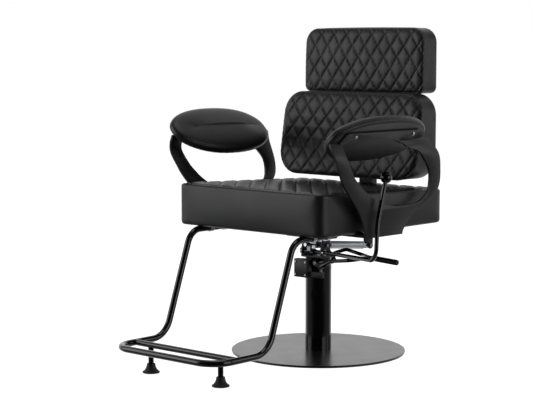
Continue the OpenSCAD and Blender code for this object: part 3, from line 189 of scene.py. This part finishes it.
# dashes of thread and the channel they lie in, along both families of lines
def threadMask(tree, look):
    uv = addNode(tree, "ShaderNodeUVMap", uv_map="quilt").outputs["UV"]
    split = addNode(tree, "ShaderNodeSeparateXYZ", {0: uv})
    total = mathNode(tree, "ADD", split.outputs[0], split.outputs[1])
    spread = mathNode(tree, "SUBTRACT", split.outputs[0], split.outputs[1])
    masks, channels = [], []
    for across, along in ((total, spread), (spread, total)):
        away = mathNode(tree, "PINGPONG", across, 0.5)
        near = ramp(tree, away, *look["thread"], 1.0, 0.0)
        channels.append(ramp(tree, away, *look["channel"], blend="SMOOTHSTEP"))
        beat = mathNode(tree, "MULTIPLY", along, look["perSide"])
        gap = ramp(tree, mathNode(tree, "PINGPONG", beat, 0.5), *look["gap"])
        masks.append(mathNode(tree, "MULTIPLY", near, gap))
    return mathNode(tree, "MAXIMUM", *masks), mathNode(tree, "MINIMUM", *channels)


leatherLook = {"dark": "#18181b", "light": "#1e1e22", "rough": (0.38, 0.46), "grain": 1.7 * mm,
               "grainShare": 0.2, "cloud": 0.11, "relief": 1.0 * mm}


def makeLeather(name, look, stitches=None):
    material, tree, shader = startMaterial(name, {"Specular IOR Level": 0.5})
    at = addNode(tree, "ShaderNodeTexCoord").outputs["Object"]
    cloud = addNode(tree, "ShaderNodeTexNoise", {"Vector": at, "Scale": 1 / look["cloud"],
                    "Detail": 3.0}).outputs[0]
    pebble = addNode(tree, "ShaderNodeTexVoronoi", {"Vector": at, "Scale": 1 / look["grain"]},
                     feature="SMOOTH_F1").outputs["Distance"]
    tone = mixTones(tree, cloud, linear(look["dark"]), linear(look["light"]))
    rough = ramp(tree, cloud, 0.3, 0.7, *look["rough"])
    height = mathNode(tree, "MULTIPLY", pebble, look["grainShare"])
    if stitches:
        thread, channel = threadMask(tree, stitches)
        # painted shade: the tone darkens towards the near-black paintedShade colour in each channel,
        # deepest at the line
        tone = mixTones(tree, channel, linear(stitches["paintedShade"]), tone)
        tone = mixTones(tree, thread, tone, linear(stitches["tone"]))
        raised = mathNode(tree, "MULTIPLY", thread, stitches["threadRise"])
        height = mathNode(tree, "ADD", height, raised)
        beside = mathNode(tree, "MULTIPLY", channel, stitches["channelDepth"])
        height = mathNode(tree, "ADD", height, beside)
    bump = addNode(tree, "ShaderNodeBump", {"Height": height, "Strength": 0.5,
                   "Distance": look["relief"]}).outputs[0]
    plugIn(tree, shader, tone, rough, bump)
    return material


# Black PU leather: soft sheen, fine pebble grain that breaks the highlights up
plainLeather = makeLeather("black PU leather", leatherLook)
# The same leather where it is quilted, with tone-in-tone thread pulled down in the channels, and
# painted shade darkening each channel towards its line
quiltLeather = makeLeather("black PU leather, quilted", leatherLook, stitchLook)


def makeFinish(name, tones, rough, speck, relief, sockets):
    material, tree, shader = startMaterial(name, sockets)
    at = addNode(tree, "ShaderNodeTexCoord").outputs["Object"]
    haze = addNode(tree, "ShaderNodeTexNoise", {"Vector": at, "Scale": 11.0,
                   "Detail": 2.0}).outputs[0]
    peel = addNode(tree, "ShaderNodeTexNoise", {"Vector": at, "Scale": 1 / speck,
                   "Detail": 2.0}).outputs[0]
    tone = mixTones(tree, haze, linear(tones[0]), linear(tones[1]))
    bump = addNode(tree, "ShaderNodeBump", {"Height": peel, "Strength": 0.35,
                   "Distance": relief}).outputs[0]
    plugIn(tree, shader, tone, ramp(tree, haze, 0.3, 0.7, *rough), bump)
    return material


# Satin black powder coat: a fine orange peel spreads each highlight
powderCoat = makeFinish("satin black powder coat", ("#131314", "#18181a"), (0.36, 0.44),
                        1.4 * mm, 0.2 * mm, {})
# Gloss black enamel: wet-looking, only a trace of brush-out
glossEnamel = makeFinish("gloss black enamel", ("#060607", "#09090a"), (0.10, 0.15),
                         5 * mm, 0.04 * mm, {"Coat Weight": 0.3, "Coat Roughness": 0.06})
# Black coated plate on the floor: nearly smooth, mirrors the room softly at a low angle
plateCoat = makeFinish("black coated steel plate", ("#19191b", "#1d1d1f"), (0.27, 0.31),
                       2 * mm, 0.008 * mm, {"Specular IOR Level": 1.0})
# Bright zinc plate on screws, clamps, collars and the spring's eye: pale with a slight haze
zinc = makeFinish("bright zinc-plated steel", ("#aeb2b8", "#d3d6da"), (0.22, 0.34),
                  2 * mm, 0.05 * mm, {"Metallic": 1.0})
# Turned steel inside the pump and on pins: a little darker than the zinc
turnedSteel = makeFinish("turned steel", ("#8f9295", "#a6a9ac"), (0.25, 0.36),
                         1.5 * mm, 0.04 * mm, {"Metallic": 1.0})
# Moulded black rubber: matt, slightly dusty grey on the high spots
rubber = makeFinish("moulded black rubber", ("#161617", "#1f1f20"), (0.55, 0.68),
                    1.5 * mm, 0.15 * mm, {})
# Polished phenolic ball: almost black, with a sharp highlight
phenolic = makeFinish("polished black phenolic", ("#060607", "#09090a"), (0.06, 0.1),
                      9 * mm, 0.02 * mm, {})
# Turned brass of the release pin and the gland: warm, on the red side
brass = makeFinish("turned brass", ("#b06a38", "#c88652"), (0.26, 0.36),
                   2 * mm, 0.05 * mm, {"Metallic": 1.0})
# Nylon bearing stock: cream white, waxy
nylon = makeFinish("natural nylon", ("#d5d2c6", "#e2dfd5"), (0.45, 0.55), 3 * mm, 0.08 * mm, {})
# Birch ply stained black under the upholstery: open, dry grain
stainedPly = makeFinish("black-stained birch ply", ("#1b1917", "#272320"), (0.62, 0.74),
                        2.5 * mm, 0.3 * mm, {})
# Drawn aluminium with a clear anodised skin: cool silver
anodised = makeFinish("clear anodised aluminium", ("#c3cad2", "#d8dee5"), (0.34, 0.44),
                      1.2 * mm, 0.05 * mm, {"Metallic": 0.6})
print("materials made")


# soft goods

# frames that the cloth is given to fill out and come to rest
clothFrames = 20


# The cover is blown up from inside by the cloth solver, while the held points stay put.
def inflate(piece, held, c):
    before = pointsOf(piece)
    group = piece.vertex_groups.new(name="held")
    group.add([int(i) for i in np.nonzero(held)[0]], 1.0, "REPLACE")
    cloth = piece.modifiers.new("stuffing", "CLOTH")
    cloth.settings.quality = 5
    cloth.settings.mass = 0.35
    cloth.settings.tension_stiffness = c["stiffness"]
    cloth.settings.compression_stiffness = c["stiffness"]
    cloth.settings.shear_stiffness = c["stiffness"] / 2
    cloth.settings.bending_stiffness = 1.5
    cloth.settings.use_pressure = True
    cloth.settings.uniform_pressure_force = c["pressure"]
    cloth.settings.vertex_group_mass = "held"
    cloth.settings.effector_weights.gravity = 0
    cloth.point_cache.frame_start = 1
    cloth.point_cache.frame_end = clothFrames
    for step in range(1, clothFrames + 1):
        scene.frame_set(step)
    applyAll(piece)
    scene.frame_set(1)
    moved = pointsOf(piece) - before
    length = np.linalg.norm(moved, axis=1)
    print(piece.name, "moved by up to", round(length.max() / mm, 1), "mm")
    moved *= np.minimum(1, c["farthest"] / np.maximum(length, 1e-9))[:, None]
    movePoints(piece, before + evenOut(piece, moved, held, c["evened"]))
    piece.vertex_groups.clear()


# each pass takes a free point's move halfway to its neighbours' mean, which evens wrinkles out
def evenOut(piece, moved, held, passes):
    ends = np.array([edge.vertices[:] for edge in piece.data.edges])
    count = np.bincount(ends.ravel(), minlength=len(moved))[:, None]
    for again in range(passes):
        around = np.zeros_like(moved)
        np.add.at(around, ends[:, 0], moved[ends[:, 1]])
        np.add.at(around, ends[:, 1], moved[ends[:, 0]])
        moved = np.where(held[:, None], moved, 0.5 * moved + 0.5 * around / count)
    return moved


# the open underside is closed last, since one face of many sides makes the subdivision slow
def subdivideOnce(piece):
    finer = piece.modifiers.new("finer", "SUBSURF")
    finer.levels = 1
    finer.uv_smooth = "NONE"
    applyAll(piece)
    startEditing(piece, "EDGE", "SELECT")
    bpy.ops.mesh.fill_holes(sides=0)
    bpy.ops.mesh.select_all(action="SELECT")
    bpy.ops.mesh.normals_make_consistent(inside=False)
    stopEditing()


# moves points near a rectangle's corner so that its outline gets that radius
def cornerMap(x, y, halfW, halfL, radius):
    a = np.clip((np.abs(x) - (halfW - radius)) / radius, 0, 1)
    b = np.clip((np.abs(y) - (halfL - radius)) / radius, 0, 1)
    both = (a > 0) & (b > 0)
    newX = np.sign(x) * (halfW - radius + radius * a * np.sqrt(1 - b * b / 2))
    newY = np.sign(y) * (halfL - radius + radius * b * np.sqrt(1 - a * a / 2))
    return np.where(both, newX, x), np.where(both, newY, y)


# how far a point lies inside the cushion's outline
def edgeDistance(x, y, c):
    radius = np.where(y > 0, *c["corners"])
    qx = np.abs(x) - (c["width"] / 2 - radius)
    qy = np.abs(y) - (c["length"] / 2 - radius)
    outside = np.hypot(np.maximum(qx, 0), np.maximum(qy, 0))
    return radius - outside - np.minimum(np.maximum(qx, qy), 0)


# how far a point lies from the nearest line of stitches
def lineDistance(x, y, c):
    u = (x - c["crossing"][0]) / c["diamond"][0]
    v = (y - c["crossing"][1]) / c["diamond"][1]
    pitch = c["diamond"][0] * c["diamond"][1] / math.hypot(*c["diamond"])
    return pitch * np.minimum(np.abs(u + v - np.round(u + v)), np.abs(u - v - np.round(u - v)))


def thickness(y, c):
    t = y / c["length"] + 0.5
    return c["thick"][0] + (c["thick"][1] - c["thick"][0]) * t + c["bow"] * (1 - (2 * t - 1) ** 2)


def faceHeight(x, y, c):
    inner = np.clip(edgeDistance(x, y, c) / c["domeReach"], 0, 1)
    band = np.clip(edgeDistance(x, y, c) / c["border"], 0, 1)
    return (thickness(y, c) + c["dome"] * (1 - (1 - inner) ** c["domeCurve"])
            + c["roll"] * np.sin(math.pi * band))


def pillows(x, y, c):
    inner = edgeDistance(x, y, c) - c["border"]
    away = np.minimum(lineDistance(x, y, c), np.maximum(inner, 0))
    return c["puff"] * (1 - (1 - np.clip(away / c["puffReach"], 0, 1)) ** c["puffCurve"])


# the rings outside the face, in order: rim, side, rolled lower edge, underside
def cushionRings(c):
    rings = [("rim", 0.5), ("rim", 0.0)]
    rings += [("side", k / c["sideRows"]) for k in range(1, c["sideRows"] + 1)]
    rings += [("corner", 0.4), ("corner", 0.75), ("corner", 1.0)]
    rings += [("under", k) for k in range(len(c["under"]))]
    return rings


# how far a ring lies inside the outline; middling is 1 at mid-side and 0 at the corners
def ringInward(kind, share, middling, inset, c):
    if kind == "rim":
        return inset * share + 0 * middling
    if kind == "side":
        return c["draw"] * middling * math.sin(math.pi * min(share, 0.999)) ** c["drawCurve"]
    if kind == "corner":
        return c["lowRound"] * (1 - math.cos(share * math.pi / 2)) + 0 * middling
    return c["under"][share][0] + 0 * middling


def ringHeight(kind, share, y, ringX, ringY, c):
    if kind == "rim":
        return faceHeight(ringX, ringY, c)
    if kind == "side":
        return c["lowRound"] + (thickness(y, c) - c["seamDrop"] - c["lowRound"]) * (1 - share)
    if kind == "corner":
        return c["low"] + (c["lowRound"] - c["low"]) * (1 - math.sin(share * math.pi / 2)) + 0 * y
    return c["under"][share][1] + 0 * y


# a flat grid with rings drawn down from its rim, each a metre lower: height tells them apart
def steppedGrid(name, c, inset, rings):
    across, along = round(c["width"] / c["cell"]), round(c["length"] / c["cell"])
    bpy.ops.object.select_all(action="DESELECT")
    bpy.ops.mesh.primitive_grid_add(x_subdivisions=across, y_subdivisions=along, size=2)
    piece = bpy.context.object
    piece.scale = (c["width"] / 2 - inset, c["length"] / 2 - inset, 1)
    settle(piece, name)
    startEditing(piece, "EDGE")
    bpy.ops.mesh.select_non_manifold(extend=False)
    for ring in rings:
        bpy.ops.mesh.extrude_region_move(TRANSFORM_OT_translate={"value": (0, 0, -1)})
    stopEditing()
    return piece


# in the quilt map, stitches run where the sum or the difference of both values is whole
def paintQuilt(piece, level, faceX, faceY, c):
    mesh = piece.data
    uvMap = mesh.uv_layers.new(name="quilt")
    loops = np.empty(len(mesh.loops), np.int32)
    mesh.loops.foreach_get("vertex_index", loops)
    u = (faceX - c["crossing"][0]) / c["diamond"][0]
    v = (faceY - c["crossing"][1]) / c["diamond"][1]
    uvMap.data.foreach_set("uv", np.stack([u[loops], v[loops]], 1).astype(np.float32).ravel())
    mesh.materials.append(quiltLeather)
    mesh.materials.append(plainLeather)
    lowest = np.array([max(level[i] for i in face.vertices) for face in mesh.polygons])
    middle = np.array([face.center[:2] for face in mesh.polygons])
    plain = (lowest > 0) | (edgeDistance(middle[:, 0], middle[:, 1], c) < c["border"] - 1 * mm)
    mesh.polygons.foreach_set("material_index", plain.astype(np.int32))


# the stitching pulls a channel along each line and beside the border, with small puckers
def pullStitches(piece, c):
    co = pointsOf(piece)
    inner = edgeDistance(co[:, 0], co[:, 1], c) - c["border"]
    onFace = co[:, 2] > thickness(co[:, 1], c) - 2 * mm
    lines = np.where(inner > 0, lineDistance(co[:, 0], co[:, 1], c), 1)
    lines = np.minimum(lines, np.abs(inner))
    waveX, waveY = c["puckerWave"]
    puckers = c["pucker"] * np.sin(co[:, 0] / waveX) * np.sin(co[:, 1] / waveY)
    deep = c["groove"] * np.exp(-(lines / c["grooveHalf"]) ** 2)
    deep = deep + puckers * np.exp(-(lines / c["puckerReach"]) ** 2)
    co[:, 2] -= np.where(onFace, deep, 0)
    movePoints(piece, co)


# A flat grid is shaped into the quilted face; its rim is drawn out and down, ring after ring,
# to the seam, the side, the rolled lower edge and the underside.
def quiltedCushion(name, c, place):
    print("building", name)
    inset = c["border"] * 0.5
    rings = cushionRings(c)
    piece = steppedGrid(name, c, inset, rings)
    co = pointsOf(piece)
    level = np.round(-co[:, 2]).astype(int)
    x, y = co[:, 0], co[:, 1]
    baseW, baseL = c["width"] / 2 - inset, c["length"] / 2 - inset
    radius = np.where(y > 0, *c["corners"])
    faceX, faceY = cornerMap(x, y, baseW, baseL, radius - inset)
    newX, newY = faceX.copy(), faceY.copy()
    newZ = faceHeight(faceX, faceY, c) + pillows(faceX, faceY, c)
    middling = 1 - np.clip(np.minimum((x / baseW) ** 2, (y / baseL) ** 2), 0, 1)
    for number, (kind, share) in enumerate(rings, 1):
        inward = ringInward(kind, share, middling, inset, c)
        halfW, halfL = c["width"] / 2 - inward, c["length"] / 2 - inward
        ringX, ringY = cornerMap(x * halfW / baseW, y * halfL / baseL, halfW, halfL,
                                 np.maximum(radius - inward, c["leastRadius"]))
        ringZ = ringHeight(kind, share, y, ringX, ringY, c)
        here = level == number
        newX[here], newY[here], newZ[here] = ringX[here], ringY[here], ringZ[here]
    movePoints(piece, np.stack([newX, newY, newZ], 1))
    paintQuilt(piece, level, faceX, faceY, c)
    turnOutwards(piece)
    # held where it is stitched or drawn over the board, free between
    inner = edgeDistance(newX, newY, c) - c["border"]
    away = np.minimum(lineDistance(newX, newY, c), np.abs(inner))
    sideRow = (level > 2) & (level <= 1 + c["sideRows"])
    insideDiamond = (level == 0) & (away > c["heldHalf"]) & (inner > 0)
    inflate(piece, ~(sideRow | insideDiamond), c)
    subdivideOnce(piece)
    pullStitches(piece, c)
    piece.matrix_world = place
    settle(piece, name)
    smooth(piece, leatherEdge)
    return piece


def subtract(piece, cutter):
    notch = piece.modifiers.new("notch", "BOOLEAN")
    notch.object = cutter
    notch.operation = "DIFFERENCE"
    notch.solver = "EXACT"
    applyAll(piece)
    bpy.data.objects.remove(cutter)


def cutAway(piece, size, centre):
    bpy.ops.object.select_all(action="DESELECT")
    bpy.ops.mesh.primitive_cube_add(size=1, location=centre)
    cutter = bpy.context.object
    cutter.scale = size
    settle(cutter, "cutter")
    startEditing(cutter, "EDGE", "SELECT")
    bpy.ops.mesh.bevel(offset=3 * mm, segments=3, affect="EDGES")
    stopEditing()
    subtract(piece, cutter)
    smooth(piece, leatherEdge)


# "thick" is given at the front and the rear edge (of a standing cushion: low and top edge), and
# "corners" are the radii at the rear, or top, and at the front, or low, corners. "under" lists
# the rings of the underside, each by its distance in from the outline and its height.
seat = {
    "width": 0.642, "length": 0.653, "thick": (0.134, 0.110), "bow": 0.0, "corners": (0.036, 0.036),
    "dome": 6 * mm, "domeReach": 34 * mm, "domeCurve": 2.6, "roll": 2 * mm, "border": 13 * mm,
    "crossing": (0.0, 0.0), "diamond": (0.0682, 0.0782),
    "puff": 4.5 * mm, "puffReach": 25 * mm, "puffCurve": 2.2,
    "groove": 1.4 * mm, "grooveHalf": 2.2 * mm,
    "pucker": 0.6 * mm, "puckerWave": (3.1 * mm, 3.4 * mm), "puckerReach": 7 * mm,
    "cell": 5 * mm, "sideRows": 12, "draw": 5 * mm, "drawCurve": 0.7, "seamDrop": 1.2 * mm,
    "lowRound": 9 * mm, "low": -0.4 * mm, "leastRadius": 4 * mm,
    "under": [(17.4 * mm, -0.4 * mm), (19 * mm, 7 * mm), (60 * mm, 7 * mm), (160 * mm, 7 * mm)],
    "heldHalf": 4.5 * mm, "pressure": 4.0, "stiffness": 25.0, "farthest": 24 * mm, "evened": 0,
}
seatPiece = quiltedCushion("seat_upholstery", seat, Matrix.Translation((0, -39.5 * mm, 0.450)))
# room for the back's spine in the rear edge
cutAway(seatPiece, (0.104, 0.084, 0.22), (0, 0.285, 0.52))
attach(seatPiece, "seat")
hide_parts("seat_cushion")


# a cushion that lies on its back is stood up with its face to the front
def standing(rear, middle):
    return Matrix(((1, 0, 0, 0), (0, 0, -1, rear), (0, 1, 0, middle), (0, 0, 0, 1)))


back = dict(seat, width=0.616, length=0.294, thick=(0.120, 0.072), bow=3 * mm, dome=7 * mm,
            domeReach=40 * mm, border=4 * mm, roll=0, corners=(0.074, 0.084),
            crossing=(-11 * mm, 22.5 * mm), diamond=(0.061, 0.078), puff=3 * mm,
            puffReach=24 * mm, groove=1.2 * mm, sideRows=9, draw=3 * mm,
            low=-0.7 * mm, under=[(16 * mm, -0.7 * mm), (60 * mm, -0.7 * mm)])
backPiece = quiltedCushion("back_upholstery", back, standing(0.2595, 0.7430))
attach(backPiece, "back")
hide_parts("back_cushion")

head = dict(back, width=0.530, length=0.225, thick=(0.080, 0.072), dome=4 * mm,
            corners=(0.052, 0.022), crossing=(-18 * mm, 11 * mm), diamond=(0.057, 0.079), sideRows=8)
headPiece = quiltedCushion("head_upholstery", head, standing(0.318, 1.0015))
# the slot that takes the spine's upper end
cutAway(headPiece, (0.0606, 0.0256, 0.1446), (0, 0.272, 0.94))
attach(headPiece, "back")
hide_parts("head_cushion")
print("quilted cushions built")


# the left armrest's middle with its slight turn, and the pad's place and slope on it
armPlace = Matrix.Translation((0.357, -0.095, 0)) @ Matrix.Rotation(math.radians(-1.4), 4, "Z")
padSlope = Matrix.Rotation(math.radians(-43.7), 4, "Y")
padPlace = armPlace @ Matrix.Translation((-0.016, -0.033, 0.759)) @ padSlope
# "section" goes up from the underside: each ring's inset, as a share of half the width, and its
# height, as a share of the thickness. "gather" and "seam" heights are such shares too.
pad = {
    "length": 0.462, "width": 0.202, "power": 2.28, "low": -17 * mm, "thick": 36.5 * mm,
    "sides": 200, "tipNarrow": 0.06, "tipShift": 8 * mm,
    "section": [(0.16, 0), (0.05, 0.02), (0.015, 0.12), (0, 0.25), (0, 0.38), (0.005, 0.5),
                (0.02, 0.62), (0.05, 0.72), (0.10, 0.81), (0.16, 0.88), (0.24, 0.925),
                (0.33, 0.955), (0.44, 0.975), (0.56, 0.99), (0.68, 0.997), (0.80, 1.0), (0.92, 1.0)],
    "heldBelow": 0.3, "pressure": 4.0, "stiffness": 30.0, "farthest": 9 * mm, "evened": 60,
    "gathers": 46, "gather": 0.3 * mm, "gatherAt": 0.14, "gatherHalf": 0.14,
    "seam": 1.0 * mm, "seamAt": 0.36, "seamHalf": 0.035,
}


# a rounded oval whose front end is a little narrower and drawn to the outer, higher side
def padOutline(angle, inset, c):
    cosine, sine = np.cos(angle), np.sin(angle)
    v = (c["length"] / 2 - inset) * np.sign(cosine) * np.abs(cosine) ** (2 / c["power"])
    u = (c["width"] / 2 - inset) * np.sign(sine) * np.abs(sine) ** (2 / c["power"])
    tip = (2 * v / c["length"]) ** 2
    return np.where(v > 0, u, u * (1 - c["tipNarrow"] * tip) + c["tipShift"] * tip), v


# gathers round the lower edge, where the leather is stretched over the board, and a seam above
def gatherEdge(piece, c):
    co = pointsOf(piece)
    angle = np.arctan2(co[:, 0] / c["width"], co[:, 1] / c["length"])
    rise = (co[:, 2] - c["low"]) / c["thick"]
    nearEdge = np.exp(-((rise - c["gatherAt"]) / c["gatherHalf"]) ** 2)
    gather = c["gather"] * np.sin(c["gathers"] * angle) * nearEdge
    seam = c["seam"] * np.exp(-((rise - c["seamAt"]) / c["seamHalf"]) ** 2)
    reach = np.maximum(np.hypot(co[:, 0], co[:, 1]), 20 * mm)
    co[:, :2] *= (1 + (gather - seam) / reach)[:, None]
    movePoints(piece, co)


def armPad(name, c):
    print("building", name)
    bpy.ops.object.select_all(action="DESELECT")
    bpy.ops.mesh.primitive_circle_add(vertices=c["sides"], radius=1)
    piece = settle(bpy.context.object, name)
    startEditing(piece, "EDGE", "SELECT")
    for ring in c["section"][1:]:
        bpy.ops.mesh.extrude_region_move(TRANSFORM_OT_translate={"value": (0, 0, 1)})
    stopEditing()
    co = pointsOf(piece)
    level = np.round(co[:, 2]).astype(int)
    inset = np.array([c["section"][k][0] for k in level]) * c["width"] / 2
    height = np.array([c["section"][k][1] for k in level])
    u, v = padOutline(np.arctan2(co[:, 0], co[:, 1]), inset, c)
    movePoints(piece, np.stack([u, v, c["low"] + c["thick"] * height], 1))
    turnOutwards(piece, weldReach)
    inflate(piece, pointsOf(piece)[:, 2] < c["low"] + c["heldBelow"] * c["thick"], c)
    subdivideOnce(piece)
    gatherEdge(piece, c)
    piece.matrix_world = padPlace
    settle(piece, name)
    return piece


leftPad = armPad("left_arm_pad", pad)
rightPad = mirrored(leftPad, "right_arm_pad")
for piece, side in ((leftPad, "left"), (rightPad, "right")):
    smooth(piece, leatherEdge)
    finishPiece(piece, plainLeather, "seat", "arm_pad_" + side)
print("arm pads built")


# tubes and rods, bent as on a bending machine: straight, turn, straight

# degrees of a bend that one step of its spin takes
bendStep = 6


def bentTube(name, path, bends, radius, sides=28):
    corners = [Vector(p) * mm for p in path]
    heading = (corners[1] - corners[0]).normalized()
    at = corners[0]
    bpy.ops.object.select_all(action="DESELECT")
    bpy.ops.mesh.primitive_circle_add(vertices=sides, radius=radius, location=at,
                                      rotation=heading.to_track_quat("Z", "Y").to_euler())
    piece = settle(bpy.context.object, name)
    startEditing(piece, "VERT", "SELECT")
    for corner, following, bend in zip(corners[1:-1], corners[2:], bends[1:-1]):
        onward = (following - corner).normalized()
        turn = heading.angle(onward)
        take = bend * mm * math.tan(turn / 2)
        start = corner - heading * take
        bpy.ops.mesh.extrude_region_move(TRANSFORM_OT_translate={"value": start - at})
        axis = heading.cross(onward).normalized()
        bpy.ops.mesh.spin(steps=max(4, round(math.degrees(turn) / bendStep)), angle=-turn,
                          center=start + axis.cross(heading) * bend * mm, axis=axis)
        at = corner + onward * take
        heading = onward
    bpy.ops.mesh.extrude_region_move(TRANSFORM_OT_translate={"value": corners[-1] - at})
    bpy.ops.mesh.select_all(action="SELECT")
    bpy.ops.mesh.remove_doubles(threshold=weldReach)
    bpy.ops.mesh.fill_holes(sides=0)
    bpy.ops.mesh.normals_make_consistent(inside=False)
    stopEditing()
    smooth(piece)
    return piece


leverRod = bentTube("lever_rod", [(-56, -28, 350), (70, -28, 350), (381.5, -168, 366),
                    (381.5, -160, 488), (381.5, -117, 632)], [0, 60, 40, 160, 0], 7 * mm)
finishPiece(leverRod, glossEnamel, "lever", "recline_lever")

footTube = bentTube("footrest_tube", [(228, -186, 438.95), (228, -392.5, 438.95),
                    (228, -515.2, 94), (228, -754, 94), (-228, -754, 94), (-228, -515.2, 94),
                    (-228, -392.5, 438.95), (-228, -186, 438.95)],
                    [0, 60, 80, 75, 75, 80, 60, 0], 11 * mm, 32)
finishPiece(footTube, glossEnamel, "seat", "footrest_frame")
print("tubes bent")


# plates and castings: copies of the CAD's, their sharp edges broken as on the real parts

# a right angle broken in two segments turns by 30 degrees at each line, so it shades as a round
brokenEdge = 35


def breakEdges(piece, width):
    edge = piece.modifiers.new("broken edges", "BEVEL")
    edge.width = width
    edge.segments = 2
    edge.limit_method = "ANGLE"
    edge.angle_limit = math.radians(metalEdge)
    applyAll(piece)
    smooth(piece, brokenEdge)


# the loop's upper edge is one arch from leg to leg, up into the flange below the pad
arch = {"middle": (0, -55.7 * mm, 0.725), "half": 155.7 * mm, "rise": 31 * mm}


def archCutter(side, c):
    bpy.ops.object.select_all(action="DESELECT")
    bpy.ops.mesh.primitive_cylinder_add(vertices=96, radius=1, depth=0.12)
    cutter = bpy.context.object
    cutter.matrix_world = (Matrix.Scale(side, 4, (1, 0, 0)) @ armPlace
                           @ Matrix.Translation(c["middle"]) @ Matrix.Rotation(math.pi / 2, 4, "Y")
                           @ Matrix.Diagonal((c["rise"], c["half"], 1, 1)))
    settle(cutter, "cutter")
    turnOutwards(cutter)
    return cutter


for node, side in (("arm_frame_left", 1), ("arm_frame_right", -1)):
    piece = copyOf(node, node + "_finished")
    subtract(piece, archCutter(side, arch))
    breakEdges(piece, 1.1 * mm)
    finishPiece(piece, powderCoat, "seat", node)

for node, width in (("oil_reservoir", 1.5 * mm), ("mount_bracket", 0.8 * mm),
                    ("seat_channel", 1.0 * mm), ("arm_rails", 0.8 * mm)):
    piece = copyOf(node, node + "_finished")
    breakEdges(piece, width)
    finishPiece(piece, powderCoat, "seat", node)
print("edges broken")

finishes = {
    plateCoat: ["base_disc"],
    rubber: ["floor_pad", "pedal_grip", "footrest_feet"],
    glossEnamel: ["column_sleeve", "pump_head", "pedal_fork", "footrest_crossbar", "footrest_stems"],
    powderCoat: ["hinge_rails", "back_spine", "back_plates"],
    phenolic: ["lever_knob"],
    zinc: ["base_screws", "reservoir_screws", "bracket_bolts", "channel_bolts", "clamp_screws",
           "arm_bolts", "arm_screws", "cam_screw", "gas_pivot_bolt", "back_bolts", "gas_eye",
           "footrest_clamps", "lever_collars", "gas_spacers"],
    turnedSteel: ["base_flange", "piston_rod", "lift_tube", "thrust_ring", "pump_plunger",
                  "pedal_shaft", "hinge_pin", "gas_head", "eye_pin", "lever_cam"],
    anodised: ["gas_cylinder", "gas_rod"],
    brass: ["rod_gland", "release_pin"],
    nylon: ["guide_bush"],
    stainedPly: ["seat_board", "back_board", "head_board", "arm_board_left", "arm_board_right"],
}
for material, names in finishes.items():
    for name in names:
        for slot in nodes[name].material_slots:
            slot.material = material
print("finishes given")


# Studio: the camera sees plain white. What lights the chair is bright behind it, dim at its
# sides and nearly dark round the camera, and matt surfaces get half of what gloss mirrors.

towardCamera = (0.66, -0.74, 0.12)
world = bpy.data.worlds.new("white studio")
scene.world = world
world.use_nodes = True
tree = world.node_tree
tree.nodes.clear()
way = addNode(tree, "ShaderNodeTexCoord").outputs["Generated"]
toward = addNode(tree, "ShaderNodeVectorMath", {0: way, 1: towardCamera},
                 operation="DOT_PRODUCT").outputs["Value"]
behind = ramp(tree, toward, -0.85, -0.25, 1.0, 0.20, "SMOOTHSTEP")
ahead = ramp(tree, toward, 0.15, 0.85, 1.0, 0.06, "SMOOTHSTEP")
lit = mathNode(tree, "MULTIPLY", behind, ahead)
ray = addNode(tree, "ShaderNodeLightPath")
sharp = mathNode(tree, "MAXIMUM", ray.outputs["Is Glossy Ray"], ray.outputs["Is Transmission Ray"])
dim = mathNode(tree, "ADD", mathNode(tree, "MULTIPLY", sharp, 0.5), 0.5)
dim = mathNode(tree, "MULTIPLY", dim, lit)
strength = mathNode(tree, "MAXIMUM", dim, ray.outputs["Is Camera Ray"])
sky = addNode(tree, "ShaderNodeBackground", {"Color": (1, 1, 1, 1), "Strength": strength})
out = addNode(tree, "ShaderNodeOutputWorld")
tree.links.new(sky.outputs[0], out.inputs[0])

bpy.ops.object.select_all(action="DESELECT")
bpy.ops.mesh.primitive_plane_add(size=1, location=(0, 0, -0.5 * mm))
floor = bpy.context.object
floorSize = 14
floor.scale = (floorSize, floorSize, 1)
settle(floor, "studio floor")
sweep, tree, shader = startMaterial("white sweep", {"Base Color": (0.9, 0.9, 0.9, 1),
                                    "Roughness": 1.0, "Specular IOR Level": 0.0,
                                    "Emission Color": (1, 1, 1, 1)})
# light of its own that only the camera sees, so that with the bounced light it comes out white
sweepGlow = 0.95
ray = addNode(tree, "ShaderNodeLightPath")
tree.links.new(mathNode(tree, "MULTIPLY", ray.outputs["Is Camera Ray"], sweepGlow),
               shader.inputs["Emission Strength"])
# reflections look past the sweep to the studio, so upright gloss stays dark as in the photo
past = addNode(tree, "ShaderNodeBsdfTransparent")
either = addNode(tree, "ShaderNodeMixShader", {0: ray.outputs["Is Glossy Ray"],
                 1: shader.outputs[0], 2: past.outputs[0]})
tree.links.new(either.outputs[0], tree.nodes["Material Output"].inputs["Surface"])
floor.data.materials.append(sweep)

# square area lamps: place, side in metres and power in watts, all turned to the seat
lampAim = Vector((0, 0, 0.6))
lamps = {
    "key": ((-3.2, -3.4, 1.5), 3.4, 70),
    "side": ((4.3, 0.2, 1.1), 2.4, 36),
    "rim": ((3.4, 3.0, 1.4), 2.0, 15),
    "top": ((0.0, 0.0, 3.4), 2.0, 15),
}
for name, (location, size, power) in lamps.items():
    bpy.ops.object.light_add(type="AREA", location=location)
    lamp = bpy.context.object
    lamp.name = name
    lamp.data.size = size
    lamp.data.energy = power
    lamp.rotation_euler = (lampAim - Vector(location)).to_track_quat("-Z", "Y").to_euler()

# the photo's camera: its place, turn and lens were fitted to the chair in the picture
bpy.ops.object.camera_add(location=(3.48521, -4.13646, 1.06573),
                          rotation=(math.radians(84.129), 0, math.radians(42.015)))
camera = bpy.context.object
camera.data.lens = 106.83
camera.data.sensor_width = 36
scene.camera = camera
scene.view_settings.view_transform = "Standard"
print("scene ready")
